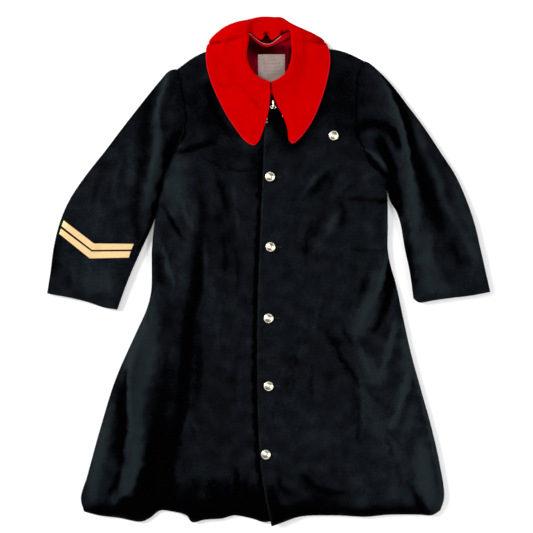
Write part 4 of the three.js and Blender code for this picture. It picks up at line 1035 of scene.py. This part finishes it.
def sleeve(side, outline, half, outwards, touches_to):
    """Both layers of a sleeve. Down to touches_to its inner edge isn't rolled, and they meet the body."""
    arm_steps = ARMHOLE_STEPS - CAP_STEPS
    rows = np.concatenate([np.linspace(0, arm_steps, 30), np.linspace(arm_steps, SLEEVE_STEPS, 150)[1:]])
    steps = np.linspace(0, CAP_STEPS, 84)
    fine = np.linspace(0, 1, 341)
    seam = seam_line(half["armhole"], outwards, fine)

    def seam_at(places):
        return np.stack([np.interp(places, fine, seam[:, k]) for k in (0, 1)], axis=1)

    upper, lower = rows[rows <= arm_steps], rows[rows > arm_steps]
    inner = np.vstack([
        seam_at((CAP_STEPS + upper) / ARMHOLE_STEPS),
        along(outline["inner"], (lower - arm_steps) / (SLEEVE_STEPS - arm_steps)),
    ])
    across = spread(steps / CAP_STEPS)
    plan = net(
        inner, along(outline["outer"], rows / SLEEVE_STEPS), seam_at((CAP_STEPS - steps) / ARMHOLE_STEPS),
        along(outline["cuff"], across), across, rows / SLEEVE_STEPS, fade=10)
    edges = [smooth(outline["inner"]), smooth(outline["outer"])]
    mouth, hole = smooth(outline["cuff"]), smooth(half["armhole"])

    def underside(spots):
        off = away(edges, spots)
        cuff = CUFF_OPEN + (1 - CUFF_OPEN) * quarter_round(nearest(mouth, spots)[0] / CUFF_ROLL)
        own = SLEEVE_LOFT * quarter_round(off / SLEEVE_ROLL) * cuff
        edge, hem = body_edges(spots)
        free = ramp(nearest(hole, spots)[0], 0, 50)
        soft = quarter_round(off / (SLEEVE_ROLL / 2))
        uneven = (0.8 * waver(spots, 110, 5) + 0.4 * waver(spots, 38, 9)) * soft * free
        form = BODY_LOFT * edge * hem * (1 - free) + own * free + relief(spots, FOLDS) * soft + uneven
        return CLOTH + LAYER_GAP + np.maximum(form, 0)

    top = outside_of(raised(plan, underside))
    touching = ramp(inner[:, 1], touches_to, touches_to + 12)
    inner_turn = ramp(rows, arm_steps, arm_steps + 1) * (1 - touching)
    outer_turn = ramp(rows, 0, 1)
    turned = turned_under(turned_under(top, "left", inner_turn), "right", outer_turn)
    # The upper sleeve's tone carries painted light and shade from the strokes and the folds.
    sew(f"sleeve_{side}_top_cloth", f"sleeve_{side}_top", turned, BLACK_WOOL, "wool", SLEEVE_CUT,
        [f"sleeve_{side}_under"], 0.12,
        layers={"wear_and_sheen": wear_of(turned, "bottom"), "nap_and_shading": nap_and_shading_of(turned, PAINTED_SHADING, FOLDS)})
    meeting = touching * ramp(rows, arm_steps + 0.1, arm_steps + 0.5) * MEETING / TUCK
    below = pulled_in(plan[::2, ::2], "left", (inner_turn - meeting)[::2])
    below = pulled_in(below, "right", outer_turn[::2])
    under = raised(below, lambda spots: np.full(len(spots), UNDER_TOP))
    sew(f"sleeve_{side}_under_cloth", f"sleeve_{side}_under", under, BLACK_WOOL, "wool", SLEEVE_CUT, (),
        0.104, wall=UNDER_WALL, layers={"wear_and_sheen": wear_of(under, "bottom")})
    return top


RIGHT_SLEEVE_TOP = sleeve("right", RIGHT_SLEEVE, RIGHT, -1, 128)
sleeve("left", LEFT_SLEEVE, LEFT, 1, 196)


# Collar: a band that stands at the neck, rolls over, and lies on the fronts and under the back

def lie_height(x, y):
    """Height of the coat's top under the collar, which bridges the edge of the left front."""
    heights = [height_on(COAT_TOP, x + dx, y) for dx in (0, -BRIDGE, BRIDGE)]
    return max((h for h in heights if h is not None), default=None)


def plain_top(x, y):
    found = lie_height(x, y)
    if found is not None:
        return found
    edge, hem = body_edges(np.array([[x, y]], float))
    return CLOTH + LAYER_GAP + BODY_LOFT * float(edge[0] * hem[0]) + CLOTH


def collar_guides(seam, roll, roll_z, turn, edge, bow, sway, seam_z):
    """The ten guide points of one section."""
    seam, roll, edge = (np.array(p, float) for p in (seam, roll, edge))
    far = edge if turn is None else np.array(turn, float)
    width = np.linalg.norm(far - roll)
    out = (far - roll) / width
    inwards = (seam - roll) / np.linalg.norm(seam - roll)
    doubling = (1 + out @ inwards) / 2
    sideways = np.array([-out[1], out[0]])
    seam_point = np.array([*seam, plain_top(*seam) + LIE if seam_z is None else seam_z])
    before = np.array([*(roll + 4 * inwards), roll_z - 3 * doubling])
    after = np.array([*(roll + min(4, width / 4) * out), roll_z + 3 * doubling])
    guides = [seam_point, seam_point * 0.45 + before * 0.55, before, np.array([*roll, roll_z]), after]
    if turn is None:
        for share in (0.2, 0.4, 0.6, 0.8, 1):
            bend = bow * math.sin(math.pi * share) + sway * math.sin(math.tau * share)
            x, y = roll + out * width * share + sideways * bend
            guides.append(np.array([x, y, plain_top(x, y) + LIE]))
        return guides
    turn_z = (UNDER + roll_z) * 0.45
    brow = min(7, width * 0.2)
    past = (edge - far) / np.linalg.norm(edge - far) * min(7, np.linalg.norm(edge - far) * 0.6)
    guides.append(np.array([*(roll + out * width / 2), max(roll_z * 0.6 + 2 * turn_z * 0.4, 0)]))
    guides.append(np.array([*(roll + out * (width - brow)), max(1.75 * turn_z, 10)]))
    guides += [np.array([*far, turn_z]), np.array([*(far + past), UNDER]), np.array([*edge, UNDER])]
    return guides


stations = np.concatenate([np.linspace(0, 0.38, 34), np.linspace(0.38, 1, 54)[1:]])
guides = np.array([collar_guides(*section) for section in COLLAR_SECTIONS])
around = np.linspace(0, 1, COLLAR_ROUND + 1)
lines = np.stack([spline(guides[:, k], around) for k in range(guides.shape[1])], axis=1)
collar = np.stack([spline(section, stations) for section in lines])
rolls = np.stack([spline(section, [STAND_SHARE])[0] for section in lines])
for row, roll in zip(collar, rolls):
    for point, station in zip(row, stations):
        lie = lie_height(point[0], point[1])
        if lie is None:
            continue
        if station <= STAND_SHARE:
            point[2] = max(point[2], lie + LIE)
        elif point[2] > 2 * COLLAR_CLOTH:
            rise = 8 * math.exp(-((np.linalg.norm(point - roll) / 27) ** 2))
            point[2] = max(point[2], lie + LIE + rise)
        else:
            point[2] = UNDER
leaf = stations > 0.4
spots = collar[:, leaf, :2].reshape(-1, 2)
soft = ramp(stations[leaf], 0.4, 0.5) * (collar[:, leaf, 2] > 2 * COLLAR_CLOTH)
folds = relief(spots, COLLAR_FOLDS).reshape(soft.shape)
uneven = 0.35 * (1 + waver(spots, 70, 12).reshape(soft.shape))
collar[:, leaf, 2] += (np.maximum(folds, 0) + uneven) * soft
collar[..., 2] = np.maximum(collar[..., 2], UNDER)
steps = np.linalg.norm(np.diff(collar, axis=1), axis=2)[:, ::-1]
to_edge = np.concatenate([np.zeros((len(collar), 1)), np.cumsum(steps, axis=1)], axis=1)[:, ::-1]
# The collar's tone carries painted light and shade, and its rim is worn with a painted sheen.
sew("collar_cloth", "collar", collar, SCARLET, "scarlet_cloth", COLLAR_CUT,
    ["front_left_cloth", "front_right_cloth"], 0.102, wall=COLLAR_CLOTH - 0.2, middle=True,
    layers={"wear_and_sheen": np.exp(-((to_edge / COLLAR_WEAR_AND_SHEEN) ** 2)),
            "nap_and_shading": nap_and_shading_of(collar, COLLAR_PAINTED_SHADING, COLLAR_FOLDS, lift=0.4)})


# Lining, label and hanger loop in the neck

level, half_width = spline(LINING_ROWS, np.linspace(0, 1, LINING_NET[0])).T[..., None]
sideways = LINING_MIDDLE + half_width * np.linspace(-1, 1, LINING_NET[1])
lining_plan = np.dstack([sideways, np.broadcast_to(level, LINING_NET)])
lining_top = highest(BACK_TREE, lining_plan, other=CLOTH) + 1 + 1.8
lining_top += 0.5 + 0.5 * waver(lining_plan.reshape(-1, 2), 42, 21).reshape(LINING_NET)
lining = np.dstack([lining_plan, lining_top])
# The lining's tone carries painted shadow around the loop and beside the collar, and painted light.
sew("back_neck_lining_cloth", "back_neck_lining", lining, LINING_RED, "lining", (0.144, 0.144),
    ["back_cloth"], 0.0172, wall=1.4, rounding=0.3, layers={"nap_and_shading": nap_and_shading_of(lining, LINING_PAINTED_SHADING)})
LINING_TREE = surface_tree(lining)

left, right, bottom, top = LABEL_EDGES
u, v = np.meshgrid(np.linspace(0, 1, LABEL_NET[1]), np.linspace(1, 0, LABEL_NET[0]))
label_plan = np.stack([left + (right - left) * u, bottom + (top - bottom) * v], axis=2)
label_base = highest(LINING_TREE, label_plan, 3.0)
label_base[np.isnan(label_base)] = np.nanmean(label_base)
ruled = np.zeros(LABEL_NET)
for line, (start, end) in enumerate(LABEL_RULES):
    ruled[9 + 6 * line, start:end] = 0.8
border = np.minimum.reduce([u, 1 - u, v, 1 - v])
ruled = np.maximum(ruled, 0.35 * ((border > 0.03) & (border < 0.06)))
sew("label_cloth", "label", np.dstack([label_plan, label_base + LABEL_GAP]), label_finish(), "label_cloth",
    (0.07, 0.072), ["back_neck_lining_cloth"], wall=0.7, rounding=0.2, layers={"ruled": ruled})

loop_at = np.linspace(0, 1, LOOP_NET[0])
loop_plan = between(along(LOOP_TOP, loop_at), along(LOOP_BOTTOM, loop_at), LOOP_NET[1])
loop_base = highest(LINING_TREE, loop_plan, 2.0)
loop_base[np.isnan(loop_base)] = np.nanmax(loop_base)
loop = np.dstack([loop_plan, loop_base + LOOP_GAP + 2.6 * ramp(np.abs(loop_plan[..., 0]), 10, 52)])
# A painted highlight along the left part of the loop's top edge.
loop_top_highlight = np.zeros(LOOP_NET)
loop_top_highlight[:, :2] = 1.6 * ramp(-loop_plan[:, :2, 0], -34, -30)
sew("hanger_loop_cloth", "hanger_loop", loop, LOOP_TAPE, "scarlet_cloth", (0.011, 0.125),
    ["back_neck_lining_cloth"], wall=1.2, rounding=0.3, layers={"wear_and_sheen": loop_top_highlight})


# Buttons: a shank, a rim and a domed face with eight low petals

for name, (x, y) in BUTTON_SPOTS.items():
    bm = bmesh.new()
    profile = [bm.verts.new((r * MM, 0, h * MM)) for r, h in BUTTON_LINE]
    profile_edges = [bm.edges.new(pair) for pair in zip(profile, profile[1:])]
    bmesh.ops.spin(bm, geom=profile + profile_edges, cent=(0, 0, 0), axis=(0, 0, 1), angle=math.tau, steps=72,
                   use_merge=True)
    bmesh.ops.remove_doubles(bm, verts=bm.verts, dist=1e-6)
    bmesh.ops.recalc_face_normals(bm, faces=bm.faces)
    turn = math.radians(17 * (x + y) % 360)
    for vert in bm.verts:
        radius = math.hypot(vert.co.x, vert.co.y) / MM
        if vert.co.z > 4.3 * MM and radius < 10:
            petal = 0.5 + 0.5 * math.cos(PETALS * (math.atan2(vert.co.y, vert.co.x) + turn))
            vert.co.z += 0.42 * MM * petal * math.exp(-(((radius - 5.5) / 2.3) ** 2))
    foot = highest(COAT_TOP, np.array([x, y]), 4.0)
    bmesh.ops.translate(bm, verts=bm.verts, vec=(np.array([x, y, foot]) + SHIFT) * MM)
    stand_for(new_object(name + "_gilt", bm, BRASS), [name])


# Chevron on the right sleeve

SLEEVE_TREE = surface_tree(RIGHT_SLEEVE_TOP)


def bar_net(top, bottom, columns):
    """A net along a bent bar, mitred at its bend."""
    def side_of(line):
        start, bend, end = np.array(line, float)
        first = start + (bend - start) * np.linspace(0, 1, 70)[:, None]
        return np.vstack([first, bend + (end - bend) * np.linspace(0, 1, 78)[1:, None]])
    return between(side_of(top), side_of(bottom), columns)


def laid_on_sleeve(plan, gap):
    return np.dstack([plan, highest(SLEEVE_TREE, plan, 1.5) + gap])


backing_plan = bar_net(LACE_BARS["lace_bar_upper"][0], LACE_BARS["lace_bar_lower"][1], 30)
backing = laid_on_sleeve(backing_plan, BACKING_GAP)
sew("chevron_backing_cloth", "chevron_backing", backing, BACKING_RED, "lining", (0.038, 0.205),
    ["sleeve_right_top_cloth"], wall=0.8, rounding=0.2)
for name, (top, bottom) in LACE_BARS.items():
    bar = laid_on_sleeve(bar_net(top, bottom, 50), LACE_GAP)
    across = np.broadcast_to(np.linspace(0, 1, bar.shape[1]), bar.shape[:2])
    ribs = 0.5 - 0.5 * np.cos(math.tau * LACE_RIBS * across)
    bar[..., 2] += 0.35 * ribs
    selvedge = 0.8 * np.exp(-((np.minimum(across, 1 - across) / 0.05) ** 2))
    sew(name + "_woven", name, bar, LACE, "gold_lace", (0.0165, 0.212), ["chevron_backing_cloth"],
        wall=0.95, rounding=0.3, layers={"rib": ribs, "selvedge": selvedge})


# Throat hook, the small wires of the collar's fastening, and the worked ends of the buttonholes

def wire(name, path, diameter, material, place=(0, 0, 0)):
    """A wire through points in millimetres, as a mesh."""
    line = spline(path, np.linspace(0, 1, 12 * (len(path) - 1) + 1)) + place
    data = bpy.data.curves.new(name, "CURVE")
    data.dimensions = "3D"
    data.bevel_depth = diameter / 2 * MM
    data.bevel_resolution = 4
    data.use_fill_caps = True
    run = data.splines.new("POLY")
    run.points.add(len(line) - 1)
    for point, co in zip(run.points, (line + SHIFT) * MM):
        point.co = (*co, 1)
    curved = placed(name + "_line", data)
    mesh = bpy.data.meshes.new_from_object(curved.evaluated_get(bpy.context.evaluated_depsgraph_get()))
    bpy.data.objects.remove(curved)
    mesh.shade_smooth()
    mesh.materials.clear()
    mesh.materials.append(material)
    return placed(name, mesh)


def laid_wire(name, path, diameter, material, lift=0.3):
    """A small wire that lies on the coat, with no CAD node of its own."""
    spots = np.array(path, float)
    heights = highest(COAT_TOP, spots, 1.0) + lift + diameter / 2
    stand_for(wire(name, np.column_stack([spots, heights]), diameter, material), [])


hook_foot = highest(COAT_TOP, np.array(HOOK_SPOT), 7.0) + 0.4 + HOOK_WIRE / 2
hook = wire("throat_hook_wire", HOOK_PATH, HOOK_WIRE, BRASS, (*HOOK_SPOT, hook_foot))
stand_for(hook, ["throat_hook"])
for name, path in EYES.items():
    laid_wire(name, path, EYE_WIRE, TINNED)
for name, (x, y) in BUTTON_SPOTS.items():
    if name != "button_chest":
        path = [(x + dx, y + dy) for dx, dy in HOLE_END]
        laid_wire(name + "_hole_end", path, HOLE_WIRE, THREAD, 0.1)


# Floor, camera and light

bm = bmesh.new()
bmesh.ops.create_grid(bm, x_segments=2, y_segments=2, size=9)
bmesh.ops.translate(bm, verts=bm.verts, vec=(0, 0, -0.0006))
new_object("floor", bm, paper())

CLOTH_LEVEL = 0.012
CAMERA_HEIGHT = 3.0
PICTURE_WIDTH = 1.3858
SENSOR = 36.0
SKY_LIGHT = 0.16
camera_data = bpy.data.cameras.new("camera")
camera_data.sensor_width = SENSOR
camera_data.lens = SENSOR * CAMERA_HEIGHT / PICTURE_WIDTH
camera = placed("camera", camera_data)
camera.location = (-0.0057, 0.0129, CLOTH_LEVEL + CAMERA_HEIGHT)
bpy.context.scene.camera = camera

LIGHTS = [  # name, place, width in metres, power in watts
    ("left_box", (-7.0, 3.4, 4.2), 3.0, 1100),
    ("right_box", (6.6, -2.0, 4.6), 3.0, 500),
    ("overhead_box", (-0.5, 0.4, 4.2), 2.4, 62),
]
for name, place, size, power in LIGHTS:
    data = bpy.data.lights.new(name, "AREA")
    data.size = size
    data.energy = power
    lamp = placed(name, data)
    lamp.location = place
    lamp.rotation_mode = "QUATERNION"
    lamp.rotation_quaternion = (-Vector(place)).to_track_quat("-Z", "Y")

bpy.context.scene.view_settings.view_transform = "Standard"
world = bpy.data.worlds.new("studio")
world.use_nodes = True
world.node_tree.nodes["Background"].inputs["Color"].default_value = (1, 1, 1, 1)
world.node_tree.nodes["Background"].inputs["Strength"].default_value = SKY_LIGHT
bpy.context.scene.world = world
